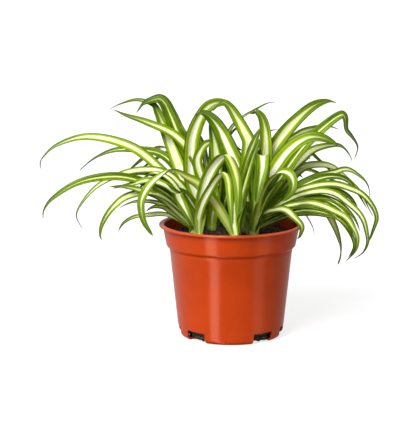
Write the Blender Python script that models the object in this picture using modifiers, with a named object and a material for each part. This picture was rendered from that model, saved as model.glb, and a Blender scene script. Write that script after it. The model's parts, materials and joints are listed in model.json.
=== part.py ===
"""A spider plant in a plastic nursery pot.

The root ball stands in the pot: dark soil, with a web of roots between it and the pot's
wall. Six crowns of long arching leaves grow out of its top. Each crown is one body, a
short stub that stands in a plain hole in the soil with all its leaves fused to it.

Metres, +Z up. The origin is the middle of the pot's underside. The front faces -Y.
"""

import math
import random

import bmesh
import bpy
from mathutils import Vector, noise
from mathutils.geometry import interpolate_bezier

MM = 0.001
CLEARANCE = 0.3 * MM
ROUND_STEPS = 38
SMALL_ARC_STEPS = 2
LARGE_ARC_STEPS = 4
MERGE = 0.00001
SHARP_EDGE = math.radians(40)

# Pot
POT_HEIGHT = 77 * MM
POT_WALL = 1.1 * MM
POT_FLOOR = 1.4 * MM
BASE_RADIUS = 36 * MM
BASE_ROUNDING = 3.5 * MM
BODY_TOP_RADIUS = 41.9 * MM
COLLAR_HEIGHT = 16.3 * MM
COLLAR_LOW_RADIUS = 44.3 * MM
COLLAR_TOP_RADIUS = 46.5 * MM
COLLAR_ROUNDING = 3 * MM
LIP_RADIUS = 49 * MM
LIP_THICKNESS = 1.8 * MM
LIP_ROUNDING = 0.8 * MM
LIP_FILLET = 1.3 * MM

# Drainage notches, cut through the pot's lower edge in three pairs
NOTCH_WIDTH = 15.3 * MM
NOTCH_HEIGHT = 7.3 * MM
NOTCH_DEPTH = 16 * MM
NOTCH_PAIRS = 3
NOTCH_ANGLES = (36.5, 78)

# Soil and roots
SOIL_TOP = 69.5 * MM
SOIL_EDGE_DROP = 1.2 * MM
SOIL_RINGS = 6
SOIL_INNER_EDGE = 0.96
SOIL_LEDGE = 1.5 * MM
SOIL_LUMP = 1 * MM
SOIL_LUMP_SIZE = 7 * MM
SOIL_LEVEL_RADIUS = 7.4 * MM
ROOT_SEED = 5
ROOT_THICKNESS = 1.2 * MM
ROOT_COUNT = 8
ROOT_POINTS = 7
ROOT_TOP = 60.5 * MM
ROOT_END = 8 * MM
ROOT_SCATTER = 0.2
ROOT_SWING = (3, 7)
ROOT_WAVES = 0.8
BRANCH_POINTS = 6
BRANCH_DROP = 2
ROOT_RING_HEIGHT = 11 * MM
ROOT_RING_SWING = 1.5 * MM
ROOT_RING_WAVES = 4
ROOT_RING_POINTS = 28

# Crowns: where each stub stands on the soil, across and towards the back
CROWNS = {
    "crown_left": (-24.5 * MM, 0),
    "crown_front_left": (-22 * MM, -14 * MM),
    "crown_front": (2.7 * MM, -18 * MM),
    "crown_right": (15 * MM, -4 * MM),
    "crown_back": (-13 * MM, 15 * MM),
    "crown_back_right": (12 * MM, 20 * MM),
}
STUB_RADIUS = 4.6 * MM
STUB_TOP_RADIUS = 3.5 * MM
STUB_DEPTH = 7.7 * MM
STUB_HEIGHT = 9 * MM
STUB_SIDES = 14

# Leaves
LEAF_SEGMENT_LENGTH = 22 * MM
LEAF_SEGMENTS = (5, 13)
BEND_LENGTH = 12 * MM
LEAF_THICKNESS = 0.8 * MM
LEAF_FOLD = math.radians(24)
LEAF_BASE_SPREAD = 1.8 * MM
LEAF_BASE_HEIGHT = 2.5 * MM
LEAF_BASE_WIDTH = 0.5
LEAF_WIDEST = 0.22
LEAF_TAPER = 0.45
LEAF_TAPER_BEND = 0.44
ROLL_FADE = 9
TWIST_LENGTH = 0.4
REACH_BEND = 1.3
CURVE_STEPS = 12

# The leaves that show from the front are drawn as they look from this point, in the
# plane of the pot's axis. Each is then slid along its lines of sight to its own depth.
FRONT_EYE = Vector((-15 * MM, -904 * MM, 241 * MM))

# Each leaf: its width, how far its face rolls to the front in degrees (or a pair, for a
# twisted leaf's base and tip), how far its tip comes forward of its crown, and the points
# it passes (across, above the soil), in mm.
FRONT_LEAVES = {
    "crown_left": [
        (6.5, 50, 15, [(-33, 17), (-48, 30), (-65, 37), (-81, 39), (-103, 35), (-121, 24),
                       (-127, 16), (-128, 9)]),
        (6, 50, 28, [(-38, 15), (-50, 25), (-63, 30), (-73, 32), (-83, 32)]),
        (6, 40, 40, [(-32, 12), (-40, 20), (-47, 25), (-56, 28), (-65, 27), (-73, 24),
                       (-79, 19), (-84, 13), (-88, 5), (-89, -1), (-88, -5)]),
        (8, 0, 16, [(-27, 12), (-33, 22), (-36, 27), (-34, 22), (-29, 12), (-25, 4)]),
        (5.5, 40, 6, [(-35, 10), (-42, 15), (-47, 18), (-53, 18), (-58, 15)]),
        (5.5, 30, 20, [(-33, 7), (-40, 11), (-47, 13), (-58, 12), (-66, 11), (-73, 7), (-77, 1)]),
        (4, 40, -25, [(-38, 15), (-50, 21), (-64, 22), (-71, 20), (-77, 17)]),
        (6, 50, 6, [(-25, 11), (-31, 22), (-40, 29), (-50, 34), (-61, 35), (-69, 33)]),
        (8, 70, 0, [(-24, 9), (-26, 19), (-31, 27), (-36, 32)]),
    ],
    "crown_front_left": [
        (6, (140, 200), 56, [(-22, 10), (-19, 21), (-14, 31), (-9, 39), (-5, 42), (-2, 38),
                             (-1, 27), (0, 15), (1, 5)]),
        (8.5, (140, 200), 50, [(-20, 17), (-19, 27), (-15, 40), (-9, 50), (-3, 54), (1, 49),
                                (4, 39), (5, 25), (4, 10)]),
    ],
    "crown_back": [
        (7, 55, -35, [(-31, 25), (-48, 44), (-67, 59), (-95, 66), (-116, 61), (-128, 51),
                      (-129, 44)]),
        (6.5, 50, -55, [(-36, 43), (-47, 54), (-61, 57), (-78, 57), (-93, 51), (-103, 43)]),
        (5.5, 50, -15, [(-38, 37), (-49, 43), (-65, 43), (-78, 39), (-91, 32), (-101, 21),
                      (-105, 12), (-101, 3)]),
        (6, 45, -25, [(-24, 20), (-30, 28), (-39, 35), (-50, 40), (-61, 41), (-73, 39)]),
        (7, 70, -10, [(-17, 23), (-21, 41), (-27, 55), (-39, 68), (-57, 76), (-72, 81), (-80, 85)]),
        (10, 75, -20, [(-26, 23), (-35, 46), (-42, 65), (-49, 82), (-53, 89), (-57, 90)]),
        (11.5, 65, -20, [(-21, 37), (-31, 60), (-37, 71), (-41, 81), (-47, 91), (-55, 90),
                        (-59, 88), (-64, 82)]),
        (4.5, 50, -30, [(-31, 59), (-42, 72), (-49, 83), (-53, 88), (-63, 91), (-75, 88), (-83, 84)]),
        (11, 80, -8, [(-26, 33), (-27, 60), (-24, 73), (-18, 84), (-13, 88), (-6, 89), (0, 87),
                      (5, 82)]),
        (9.5, 143, 4, [(-8, 33), (-10, 54), (-12, 66), (-14.5, 75), (-16, 83)]),
        (8, 70, 0, [(-8, 12), (-4, 26), (-2, 40), (-3, 52)]),
        (9, 70, 4, [(-11, 9), (-9, 28), (-7, 46), (-5, 62)]),
        (8, 75, 2, [(-10, 10), (-4, 26), (0, 42), (2, 57)]),
        (3.6, 20, -35, [(-7, 37), (-5, 60), (0, 72), (7, 79), (17, 85), (25, 89), (31, 89)]),
        (7, 60, -10, [(-20, 22), (-25, 31), (-32, 37), (-39, 40), (-46, 42)]),
        (8, 70, -6, [(-20, 19), (-24, 36), (-28, 47), (-31, 56)]),
        (7.5, 76, -3, [(-20, 38), (-23, 50), (-20, 58), (-15.5, 62), (-10, 60), (-6, 53)]),
        (8, 150, 16, [(-13, 9), (-11, 20), (-8, 34)]),
    ],
    "crown_front": [
        (8, (-85, 65), 8, [(-7, 15), (-15, 26), (-21, 33), (-30, 38), (-40, 43), (-48, 39), (-55, 33),
                     (-60, 25), (-61, 18), (-59, 8), (-53, -2)]),
        (9, 0, -10, [(3, 7), (5, 14), (8, 21), (11, 20), (11, 14)]),
        (5, 150, 4, [(2, 10), (3, 23), (4, 28)]),
        (7, 60, -15, [(6, 12), (7, 24), (10, 37), (15, 54), (20, 66)]),
    ],
    "crown_right": [
        (13, 75, -14, [(7, 27), (4, 45), (-1, 57), (-6, 68), (-12, 77), (-19, 82), (-25, 80)]),
        (10.5, 0, 35, [(19, 27), (21, 43), (21, 53), (21, 45), (19, 33), (17, 20)]),
        (11, 75, 15, [(21, 27), (29, 43), (39, 57), (50, 65), (58, 66), (67, 63), (73, 59)]),
        (5.5, 50, -15, [(29, 20), (44, 32), (58, 39), (70, 42), (78, 44), (86, 40), (92, 34),
                      (94, 27), (93, 24)]),
        (5, (50, 80), 10, [(29, 15), (43, 28), (58, 33), (70, 34), (81, 31), (89, 27), (96, 19),
                       (99, 11), (97, 3), (94, -6)]),
        (5, 50, 25, [(29, 17), (43, 25), (53, 28), (63, 29), (71, 27), (78, 22), (86, 15),
                       (90, 9), (92, 2), (93, -6), (90, -13), (83, -18)]),
        (5, 40, 40, [(22, 11), (32, 17), (45, 20), (53, 21), (62, 19), (71, 15), (78, 11), (83, 4),
                     (86, -3), (85, -11), (78, -20)]),
        (4.5, 30, 5, [(37, 11), (45, 13), (58, 13), (68, 11), (76, 10), (81, 7)]),
        (6, 40, 25, [(22, 13), (30, 16), (37, 16), (43, 11), (48, 5), (47, -1), (45, -4)]),
        (9, 30, 32, [(18, 13), (23, 30), (29, 39), (35, 42), (40, 40), (42, 35), (41, 29), (35, 22)]),
        (7, 50, 18, [(21, 15), (26, 27), (33, 35), (38, 37)]),
        (8, 75, -3, [(10, 22), (9, 38), (13, 56), (20, 73)]),
        (10, 67, -12, [(10, 40), (12, 62), (8, 71), (3, 80), (-1, 86), (-5, 89), (-9, 87), (-13, 83)]),
        (6, 45, -8, [(29, 19), (47, 32), (61, 38), (71, 39), (79, 36), (86, 27), (93, 16)]),
        (5.5, 45, 0, [(33, 18), (48, 26), (63, 30), (73, 29), (81, 24), (86, 16), (89, 7)]),
        (6.5, 40, 12, [(20, 9), (27, 13), (36, 15), (45, 12)]),
        (5, 45, 15, [(27, 14), (36, 20), (48, 24), (60, 25), (69, 23), (77, 18), (84, 10), (88, 1)]),
        (5, 40, 32, [(29, 10), (40, 14), (52, 16), (64, 14), (73, 10), (80, 3), (83, -6)]),
        (5, 45, 20, [(30, 14), (46, 22), (60, 24), (70, 20), (79, 12), (84, 3), (85, -5),
                    (82, -13)]),
        (5, 45, 36, [(28, 12), (42, 18), (54, 19), (66, 16), (76, 8), (82, -1), (84, -9),
                    (80, -17)]),
    ],
    "crown_back_right": [
        (10.5, 10, -14, [(21, 30), (23, 53), (23, 67), (21, 78), (17, 83), (12, 82)]),
        (10.5, 75, -30, [(21, 30), (27, 55), (35, 68), (45, 79), (55, 87), (64, 90), (71, 89)]),
        (8, 60, -10, [(27, 28), (36, 42), (50, 61), (65, 75), (74, 81), (76, 79), (77, 71),
                        (81, 66), (85, 59), (83, 51)]),
        (7, 55, -45, [(25, 37), (32, 55), (46, 68), (57, 72), (66, 73), (73, 71)]),
        (7, 50, -25, [(29, 27), (39, 42), (47, 50), (55, 57), (65, 60), (73, 60), (79, 55),
                        (82, 49)]),
        (6.5, 45, -43, [(45, 42), (51, 46), (61, 47), (69, 45), (74, 41), (81, 35), (87, 29),
                      (92, 20), (97, 11)]),
        (7.5, 75, -50, [(29, 19), (41, 25), (52, 24), (61, 19), (68, 9), (73, -3), (75, -13),
                        (73, -22)]),
        (3, 30, -5, [(29, 12), (41, 15), (49, 14), (53, 9), (56, 3), (57, -3)]),
        (7, 60, 0, [(15, 15), (13, 25), (15, 46), (16, 51)]),
        (3, 40, -15, [(20, 50), (25, 69), (31, 71), (33, 70)]),
        (7, 60, -33, [(26, 32), (35, 43), (42, 49), (49, 53), (57, 54)]),
        (8, 70, -5, [(7, 13), (3, 25), (1, 38), (-1, 50)]),
        (8, 70, -8, [(6, 8), (1, 15), (-2, 26), (-4, 38)]),
    ],
}

# Leaves placed by rule: the crown, how many, the headings they cover (0 is to the right,
# 90 to the back), how far they reach and how high they rise in mm, and how far the tip
# sinks again, as a share of the rise. The first rows arch away to the back and the
# sides, and the last rows are the young upright leaves inside each crown.
RULE_LEAVES = [
    ("crown_left", 3, (150, 205), (40, 58), (26, 38), (0.1, 0.6)),
    ("crown_back", 6, (75, 160), (65, 98), (34, 52), (0.1, 0.6)),
    ("crown_back_right", 5, (15, 85), (65, 98), (34, 52), (0.1, 0.6)),
    ("crown_left", 2, (-40, 50), (12, 24), (34, 46), (0, 0.15)),
    ("crown_right", 3, (20, 110), (10, 26), (42, 62), (0, 0.15)),
    ("crown_back", 4, (-10, 150), (8, 30), (50, 70), (0, 0.15)),
    ("crown_back_right", 3, (5, 90), (12, 28), (36, 50), (0, 0.15)),
]
RULE_LEAF_SEED = 11
RULE_LEAF_WIDTH = (6, 9)
RULE_LEAF_ROLL = (-25, 25)
RULE_LEAF_SPREAD = (0.2, 0.8)

# The arch of such a leaf, as shares of its reach and its rise, before the tip sinks
RULE_LEAF_ARCH = ((0.14, 0.5), (0.32, 0.86), (0.55, 1), (0.78, 0.98))
RULE_LEAF_SAG = 0.4

# Colours from the finished object
TERRACOTTA = (0.56, 0.07, 0.018)
DARK_EARTH = (0.022, 0.015, 0.01)
PALE_ROOT = (0.6, 0.4, 0.2)
LEAF_GREEN = (0.24, 0.42, 0.08)


def add_collection(name):
    collection = bpy.data.collections.new(name)
    bpy.context.scene.collection.children.link(collection)
    return collection


def add_object(name, mesh, collection):
    obj = bpy.data.objects.new(name, mesh)
    collection.objects.link(obj)
    return obj


def add_material(name, colour, roughness):
    material = bpy.data.materials.new(name)
    material.use_nodes = True
    shader = material.node_tree.nodes["Principled BSDF"]
    shader.inputs["Base Color"].default_value = (*colour, 1)
    shader.inputs["Roughness"].default_value = roughness
    shader.inputs["Metallic"].default_value = 0
    return material


def evaluated_mesh(obj):
    """The object's mesh with its modifiers applied."""
    depsgraph = bpy.context.evaluated_depsgraph_get()
    return bpy.data.meshes.new_from_object(obj.evaluated_get(depsgraph))


def arc(centre, radius, start, end, steps):
    """Points (radius, height) along an arc of the profile, from start to end degrees."""
    points = []
    for step in range(steps + 1):
        angle = math.radians(start + (end - start) * step / steps)
        points.append((centre[0] + radius * math.cos(angle), centre[1] + radius * math.sin(angle)))
    return points


def turned_object(name, profile, collection):
    """A solid turned about the Z axis. The profile's outer side runs from top to bottom."""
    mesh = bpy.data.meshes.new(name)
    edges = [(i, i + 1) for i in range(len(profile) - 1)]
    mesh.from_pydata([(radius, 0, height) for radius, height in profile], edges, [])
    obj = add_object(name, mesh, collection)
    screw = obj.modifiers.new("Turn", "SCREW")
    screw.steps = ROUND_STEPS
    screw.render_steps = ROUND_STEPS
    screw.use_merge_vertices = True
    screw.merge_threshold = MERGE
    return obj


def wall_inside(height):
    """Radius of the pot's inner wall at a height below the collar."""
    low, high = BASE_ROUNDING, POT_HEIGHT - COLLAR_HEIGHT
    share = (height - low) / (high - low)
    return BASE_RADIUS + (BODY_TOP_RADIUS - BASE_RADIUS) * share - POT_WALL


def collar_inside(height):
    """Radius of the collar's inner wall at a height above its rounded lower edge."""
    low = POT_HEIGHT - COLLAR_HEIGHT + COLLAR_ROUNDING
    high = POT_HEIGHT - LIP_FILLET
    share = (height - low) / (high - low)
    return COLLAR_LOW_RADIUS + (COLLAR_TOP_RADIUS - COLLAR_LOW_RADIUS) * share - POT_WALL


def pot_profile():
    """From the middle of the floor up the inside, over the lip and down the outside."""
    collar_low = POT_HEIGHT - COLLAR_HEIGHT
    collar_centre = (COLLAR_LOW_RADIUS - COLLAR_ROUNDING, collar_low + COLLAR_ROUNDING)
    corner_centre = (BASE_RADIUS - BASE_ROUNDING, BASE_ROUNDING)
    floor_rounding = BASE_ROUNDING - POT_WALL
    floor_centre = (BASE_RADIUS - BASE_ROUNDING, POT_FLOOR + floor_rounding)
    fillet_centre = (COLLAR_TOP_RADIUS - POT_WALL + LIP_FILLET, POT_HEIGHT - LIP_FILLET)
    lip_edge = LIP_RADIUS - LIP_ROUNDING
    lip_low = POT_HEIGHT - LIP_THICKNESS
    step_out = BODY_TOP_RADIUS - collar_centre[0]
    collar_in = COLLAR_ROUNDING - POT_WALL
    outside_meets = math.degrees(math.acos(step_out / COLLAR_ROUNDING))
    inside_meets = math.degrees(math.acos((step_out - POT_WALL) / collar_in))

    inside = [(0, POT_FLOOR)]
    inside += arc(floor_centre, floor_rounding, -90, 0, SMALL_ARC_STEPS)
    inside += arc(collar_centre, collar_in, -inside_meets, 0, SMALL_ARC_STEPS)
    lip = arc(fillet_centre, LIP_FILLET, 180, 90, SMALL_ARC_STEPS)
    lip += arc((lip_edge, POT_HEIGHT - LIP_ROUNDING), LIP_ROUNDING, 90, 0, SMALL_ARC_STEPS)
    lip += arc((lip_edge, lip_low + LIP_ROUNDING), LIP_ROUNDING, 0, -90, SMALL_ARC_STEPS)
    lip += [(COLLAR_TOP_RADIUS, lip_low)]
    outside = arc(collar_centre, COLLAR_ROUNDING, 0, -outside_meets, LARGE_ARC_STEPS)
    outside += arc(corner_centre, BASE_ROUNDING, 0, -90, LARGE_ARC_STEPS)
    outside += [(0, 0)]
    return inside + lip + outside


def make_pot(parts, cutters):
    pot = turned_object("pot", pot_profile(), parts)
    for pair in range(NOTCH_PAIRS):
        for offset in NOTCH_ANGLES:
            angle = math.radians(offset + pair * 360 / NOTCH_PAIRS)
            bpy.ops.mesh.primitive_cube_add(size=1)
            notch = bpy.context.active_object
            notch.name = "notch_cutter"
            notch.dimensions = (NOTCH_WIDTH, NOTCH_DEPTH, 2 * NOTCH_HEIGHT)
            notch.location = (BASE_RADIUS * math.sin(angle), -BASE_RADIUS * math.cos(angle), 0)
            notch.rotation_euler = (0, 0, angle)
            notch.hide_render = True
            notch.display_type = "WIRE"
            bpy.context.collection.objects.unlink(notch)
            cutters.objects.link(notch)
    cut = pot.modifiers.new("Notches", "BOOLEAN")
    cut.operation = "DIFFERENCE"
    cut.operand_type = "COLLECTION"
    cut.collection = cutters
    return pot


def soil_profile():
    """From the middle of the top out to the collar and down to the pot's floor."""
    side_gap = ROOT_THICKNESS + 3 * CLEARANCE
    ledge = POT_HEIGHT - COLLAR_HEIGHT + COLLAR_ROUNDING + SOIL_LEDGE
    edge_height = SOIL_TOP - SOIL_EDGE_DROP
    edge = collar_inside(edge_height) - CLEARANCE
    low_edge = collar_inside(ledge) - CLEARANCE
    profile = [(edge * SOIL_INNER_EDGE * ring / SOIL_RINGS, SOIL_TOP) for ring in range(SOIL_RINGS + 1)]
    profile += [(edge, edge_height), (low_edge, ledge)]
    for height in (ROOT_TOP + ROOT_THICKNESS, BASE_ROUNDING + 2 * ROOT_THICKNESS):
        profile.append((wall_inside(height) - side_gap, height))
    bottom = POT_FLOOR + CLEARANCE
    profile += [(BASE_RADIUS - BASE_ROUNDING - side_gap, bottom), (0, bottom)]
    return profile


def soil_lump(point):
    """How far a point of the soil's top stands up or down. It is level beside a crown."""
    nearest = min((Vector((x, y)) - point.xy).length for x, y in CROWNS.values())
    fade = min(max((nearest - SOIL_LEVEL_RADIUS) / SOIL_LUMP_SIZE, 0), 1)
    return fade * SOIL_LUMP * noise.noise(point / SOIL_LUMP_SIZE)


def make_soil(parts, cutters):
    turned = turned_object("turned_soil", soil_profile(), parts)
    mesh = evaluated_mesh(turned)
    bpy.data.objects.remove(turned)
    for vertex in mesh.vertices:
        if vertex.co.z > SOIL_TOP - MERGE:
            vertex.co.z += soil_lump(vertex.co)
    soil = add_object("soil", mesh, parts)
    for place in CROWNS.values():
        bpy.ops.mesh.primitive_cylinder_add(
            vertices=STUB_SIDES,
            radius=STUB_RADIUS + CLEARANCE,
            depth=2 * (STUB_DEPTH + CLEARANCE),
            location=(*place, SOIL_TOP),
        )
        hole = bpy.context.active_object
        hole.name = "crown_hole_cutter"
        hole.hide_render = True
        hole.display_type = "WIRE"
        bpy.context.collection.objects.unlink(hole)
        cutters.objects.link(hole)
    cut = soil.modifiers.new("Crown holes", "BOOLEAN")
    cut.operation = "DIFFERENCE"
    cut.operand_type = "COLLECTION"
    cut.collection = cutters
    return soil


def root_point(angle, height):
    """A point between the soil and the pot's wall, at an angle in degrees and a height."""
    radius = wall_inside(height) - CLEARANCE - ROOT_THICKNESS / 2
    turn = math.radians(angle)
    return (radius * math.cos(turn), radius * math.sin(turn), height)


def root_routes():
    """The routes of the roots: down the side, across to a neighbour, and round the bottom."""
    draw = random.Random(ROOT_SEED)
    spacing = 360 / ROOT_COUNT
    tracks = []
    for number in range(ROOT_COUNT):
        start = spacing * (number + draw.uniform(-ROOT_SCATTER, ROOT_SCATTER))
        swing, phase = draw.uniform(*ROOT_SWING), draw.uniform(0, math.tau)
        end = draw.uniform(ROOT_END, ROOT_RING_HEIGHT)
        track = []
        for step in range(ROOT_POINTS):
            share = step / (ROOT_POINTS - 1)
            track.append((start + swing * math.sin(phase + math.tau * ROOT_WAVES * share),
                          ROOT_TOP + (end - ROOT_TOP) * share))
        tracks.append(track)
    branches = []
    for number, track in enumerate(tracks):
        leave = draw.randint(1, ROOT_POINTS - 2 - BRANCH_DROP)
        neighbour = tracks[(number + 1) % ROOT_COUNT]
        start, end = track[leave], neighbour[leave + BRANCH_DROP]
        turn = end[0] - start[0] + (360 if number + 1 == ROOT_COUNT else 0)
        branch = []
        for step in range(BRANCH_POINTS):
            share = step / (BRANCH_POINTS - 1)
            branch.append((start[0] + turn * share,
                           start[1] + (end[1] - start[1]) * math.sin(share * math.pi / 2)))
        branches.append(branch)
    ring = []
    for step in range(ROOT_RING_POINTS):
        angle = 360 * step / ROOT_RING_POINTS
        wave = math.sin(math.radians(ROOT_RING_WAVES * angle))
        ring.append((angle, ROOT_RING_HEIGHT + ROOT_RING_SWING * wave))
    return tracks + branches, ring


def root_tube(route, closed, collection):
    """A thin tube along a route of (angle, height) pairs, as a closed mesh."""
    curve = bpy.data.curves.new("root_line", "CURVE")
    curve.dimensions = "3D"
    curve.bevel_depth = ROOT_THICKNESS / 2
    curve.bevel_resolution = 0
    curve.use_fill_caps = not closed
    spline = curve.splines.new("POLY")
    spline.points.add(len(route) - 1)
    spline.use_cyclic_u = closed
    for point, (angle, height) in zip(spline.points, route):
        point.co = (*root_point(angle, height), 1)
    line = add_object("root_line", curve, collection)
    mesh = evaluated_mesh(line)
    bpy.data.objects.remove(line)
    weld = bmesh.new()
    weld.from_mesh(mesh)
    bmesh.ops.remove_doubles(weld, verts=weld.verts, dist=MERGE)
    weld.to_mesh(mesh)
    weld.free()
    return add_object("root_tube", mesh, collection)


def keep_outer_body(mesh):
    """Keep the largest body of a fused mesh: sealed hollows are filled, scraps dropped."""
    shape = bmesh.new()
    shape.from_mesh(mesh)
    waiting, bodies = set(shape.verts), []
    while waiting:
        body = {waiting.pop()}
        edge_of_body = list(body)
        while edge_of_body:
            vertex = edge_of_body.pop()
            for edge in vertex.link_edges:
                other = edge.other_vert(vertex)
                if other in waiting:
                    waiting.remove(other)
                    body.add(other)
                    edge_of_body.append(other)
        bodies.append(body)
    bodies.sort(key=len)
    for body in bodies[:-1]:
        bmesh.ops.delete(shape, geom=list(body), context="VERTS")
    shape.to_mesh(mesh)
    shape.free()


def fuse(obj, collection):
    """Join the collection's objects to this one, and remove them."""
    union = obj.modifiers.new("Fuse", "BOOLEAN")
    union.operation = "UNION"
    union.operand_type = "COLLECTION"
    union.collection = collection
    union.solver = "MANIFOLD"
    mesh = evaluated_mesh(obj)
    keep_outer_body(mesh)
    obj.modifiers.remove(union)
    obj.data = mesh
    for piece in list(collection.objects):
        bpy.data.objects.remove(piece)
    bpy.data.collections.remove(collection)


def make_roots(parts):
    routes, ring = root_routes()
    lines = add_collection("root_lines")
    for route in routes:
        root_tube(route, False, lines)
    roots = root_tube(ring, True, parts)
    roots.name = "roots"
    fuse(roots, lines)
    return roots


def smooth_path(points):
    """Points along a smooth curve through the given ones, closer where it bends.

    Each comes with its share of the curve's length."""
    last = len(points) - 1
    headings = [(points[min(i + 1, last)] - points[max(i - 1, 0)]).normalized()
                for i in range(len(points))]
    dense = [points[0]]
    for i in range(last):
        start, end = points[i], points[i + 1]
        arm = (end - start).length / 3
        dense += interpolate_bezier(start, start + headings[i] * arm,
                                    end - headings[i + 1] * arm, end, CURVE_STEPS)[1:]
    lengths, efforts, before = [0], [0], dense[1] - dense[0]
    for start, end in zip(dense, dense[1:]):
        step = end - start
        lengths.append(lengths[-1] + step.length)
        efforts.append(efforts[-1] + step.length + BEND_LENGTH * before.angle(step))
        before = step
    fewest, most = LEAF_SEGMENTS
    segments = min(max(round(efforts[-1] / LEAF_SEGMENT_LENGTH), fewest), most)
    path, place = [], 0
    for number in range(segments + 1):
        target = efforts[-1] * number / segments
        while place < len(dense) - 2 and efforts[place + 1] < target:
            place += 1
        share = min((target - efforts[place]) / (efforts[place + 1] - efforts[place]), 1)
        length = lengths[place] + (lengths[place + 1] - lengths[place]) * share
        path.append((dense[place].lerp(dense[place + 1], share), length / lengths[-1]))
    return path


def leaf_width(share):
    """Width along a leaf, as a share of its full width: sheath, blade and long fine tip."""
    sheath = LEAF_BASE_WIDTH + (1 - LEAF_BASE_WIDTH) * share / LEAF_WIDEST
    return min(1, sheath) * min(1, (1 - share) / LEAF_TAPER) ** LEAF_TAPER_BEND


def blade_roll(roll, share, top):
    """The roll at a place on a leaf. It fades at the tip, or changes at the arch's top."""
    if not isinstance(roll, tuple):
        return roll * (1 - share ** ROLL_FADE)
    step = min(max((share - top) / TWIST_LENGTH + 0.5, 0), 1)
    return roll[0] + (roll[1] - roll[0]) * step


def leaf_frames(path, roll):
    """For each point of a leaf's path, the direction across the blade and its face's normal.

    The face looks to the crown at the base, up at the top of the arch and outward where
    the tip hangs down. A positive roll turns it to the front, and fades at the tip."""
    heading = path[-1][0] - path[0][0]
    across = Vector((0, 0, 1)).cross(heading).normalized()
    side = 1 if across.y < 0 else -1
    top = max(path, key=lambda place: place[0].z)[1]
    frames = []
    for i, (_, share) in enumerate(path):
        ahead, behind = path[min(i + 1, len(path) - 1)][0], path[max(i - 1, 0)][0]
        tangent = (ahead - behind).normalized()
        flat = (across - tangent * across.dot(tangent)).normalized()
        face = tangent.cross(flat)
        turn = math.radians(blade_roll(roll, share, top) * side)
        frames.append((flat * math.cos(turn) - face * math.sin(turn),
                       face * math.cos(turn) + flat * math.sin(turn)))
    return frames


def leaf_mesh(path, width, roll):
    """A blade folded along its midrib: two edges, a midrib above and one below, one tip."""
    vertices, faces = [], []
    for (point, share), (across, face) in zip(path[:-1], leaf_frames(path, roll)):
        half = width * leaf_width(share) / 2
        edge = face * half * math.tan(LEAF_FOLD)
        rib = face * LEAF_THICKNESS / 2
        vertices += [point + across * half + edge, point + rib,
                     point - across * half + edge, point - rib]
    for ring in range(len(path) - 2):
        for low in range(4):
            high = (low + 1) % 4
            here, there = 4 * ring, 4 * ring + 4
            edge, rib = (low, high) if low % 2 == 0 else (high, low)
            corners = [here + edge, there + rib]
            first = (corners[0], here + rib, corners[1])
            second = (corners[0], corners[1], there + edge)
            flip = low % 2 == 0
            faces += [first, second] if flip else [first[::-1], second[::-1]]
    tip = len(vertices)
    vertices.append(path[-1][0])
    final = tip - 4
    faces += [(final + (low + 1) % 4, tip, final + low) for low in range(4)]
    faces += [(0, 3, 1), (1, 3, 2)]
    mesh = bpy.data.meshes.new("leaf")
    mesh.from_pydata(vertices, [], faces)
    return mesh


def slide_back(point, depth):
    """Move a point along its line of sight from the front to the given depth."""
    share = (depth - FRONT_EYE.y) / (point.y - FRONT_EYE.y)
    return FRONT_EYE + (point - FRONT_EYE) * share


def leaf_base(crown, heading):
    """The point in the crown's stub where a leaf with this heading starts."""
    x, y = CROWNS[crown]
    offset = heading.normalized() * LEAF_BASE_SPREAD
    return Vector((x + offset.x, y + offset.y, SOIL_TOP + LEAF_BASE_HEIGHT))


def front_leaf_points(crown, reach, shape):
    """The points of a leaf drawn from the front, its tip brought forward by its reach."""
    x, y = CROWNS[crown]
    flat = [Vector((across * MM, 0, SOIL_TOP + up * MM)) for across, up in shape]
    lengths = [(flat[0] - Vector((x, 0, SOIL_TOP))).length]
    for start, end in zip(flat, flat[1:]):
        lengths.append(lengths[-1] + (end - start).length)
    points = [slide_back(point, y - reach * MM * (length / lengths[-1]) ** REACH_BEND)
              for point, length in zip(flat, lengths)]
    tip = points[-1] - Vector((x, y, SOIL_TOP))
    return [leaf_base(crown, tip.xy)] + points


def rule_leaf_points(crown, heading, reach, rise, droop):
    """The points of a leaf that arches away from its crown along a heading."""
    direction = Vector((math.cos(heading), math.sin(heading)))
    base = leaf_base(crown, direction)
    (*arch, (last, height)) = RULE_LEAF_ARCH
    points = [base]
    for along, up in (*arch, (last, height - RULE_LEAF_SAG * droop), (1, 1 - droop)):
        step = direction * reach * along
        points.append(base + Vector((step.x, step.y, rise * up)))
    return points


def leaf_list():
    """Every leaf as its crown, the points it passes, its width and its roll."""
    leaves = []
    for crown, shapes in FRONT_LEAVES.items():
        for width, roll, reach, shape in shapes:
            leaves.append((crown, front_leaf_points(crown, reach, shape), width * MM, roll))
    draw = random.Random(RULE_LEAF_SEED)
    for crown, count, (first, last), reaches, rises, droops in RULE_LEAVES:
        for number in range(count):
            share = (number + draw.uniform(*RULE_LEAF_SPREAD)) / count
            heading = math.radians(first + (last - first) * share)
            reach = draw.uniform(*reaches) * MM
            rise = draw.uniform(*rises) * MM
            points = rule_leaf_points(crown, heading, reach, rise, draw.uniform(*droops))
            leaves.append((crown, points, draw.uniform(*RULE_LEAF_WIDTH) * MM,
                           draw.uniform(*RULE_LEAF_ROLL)))
    return leaves


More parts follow.
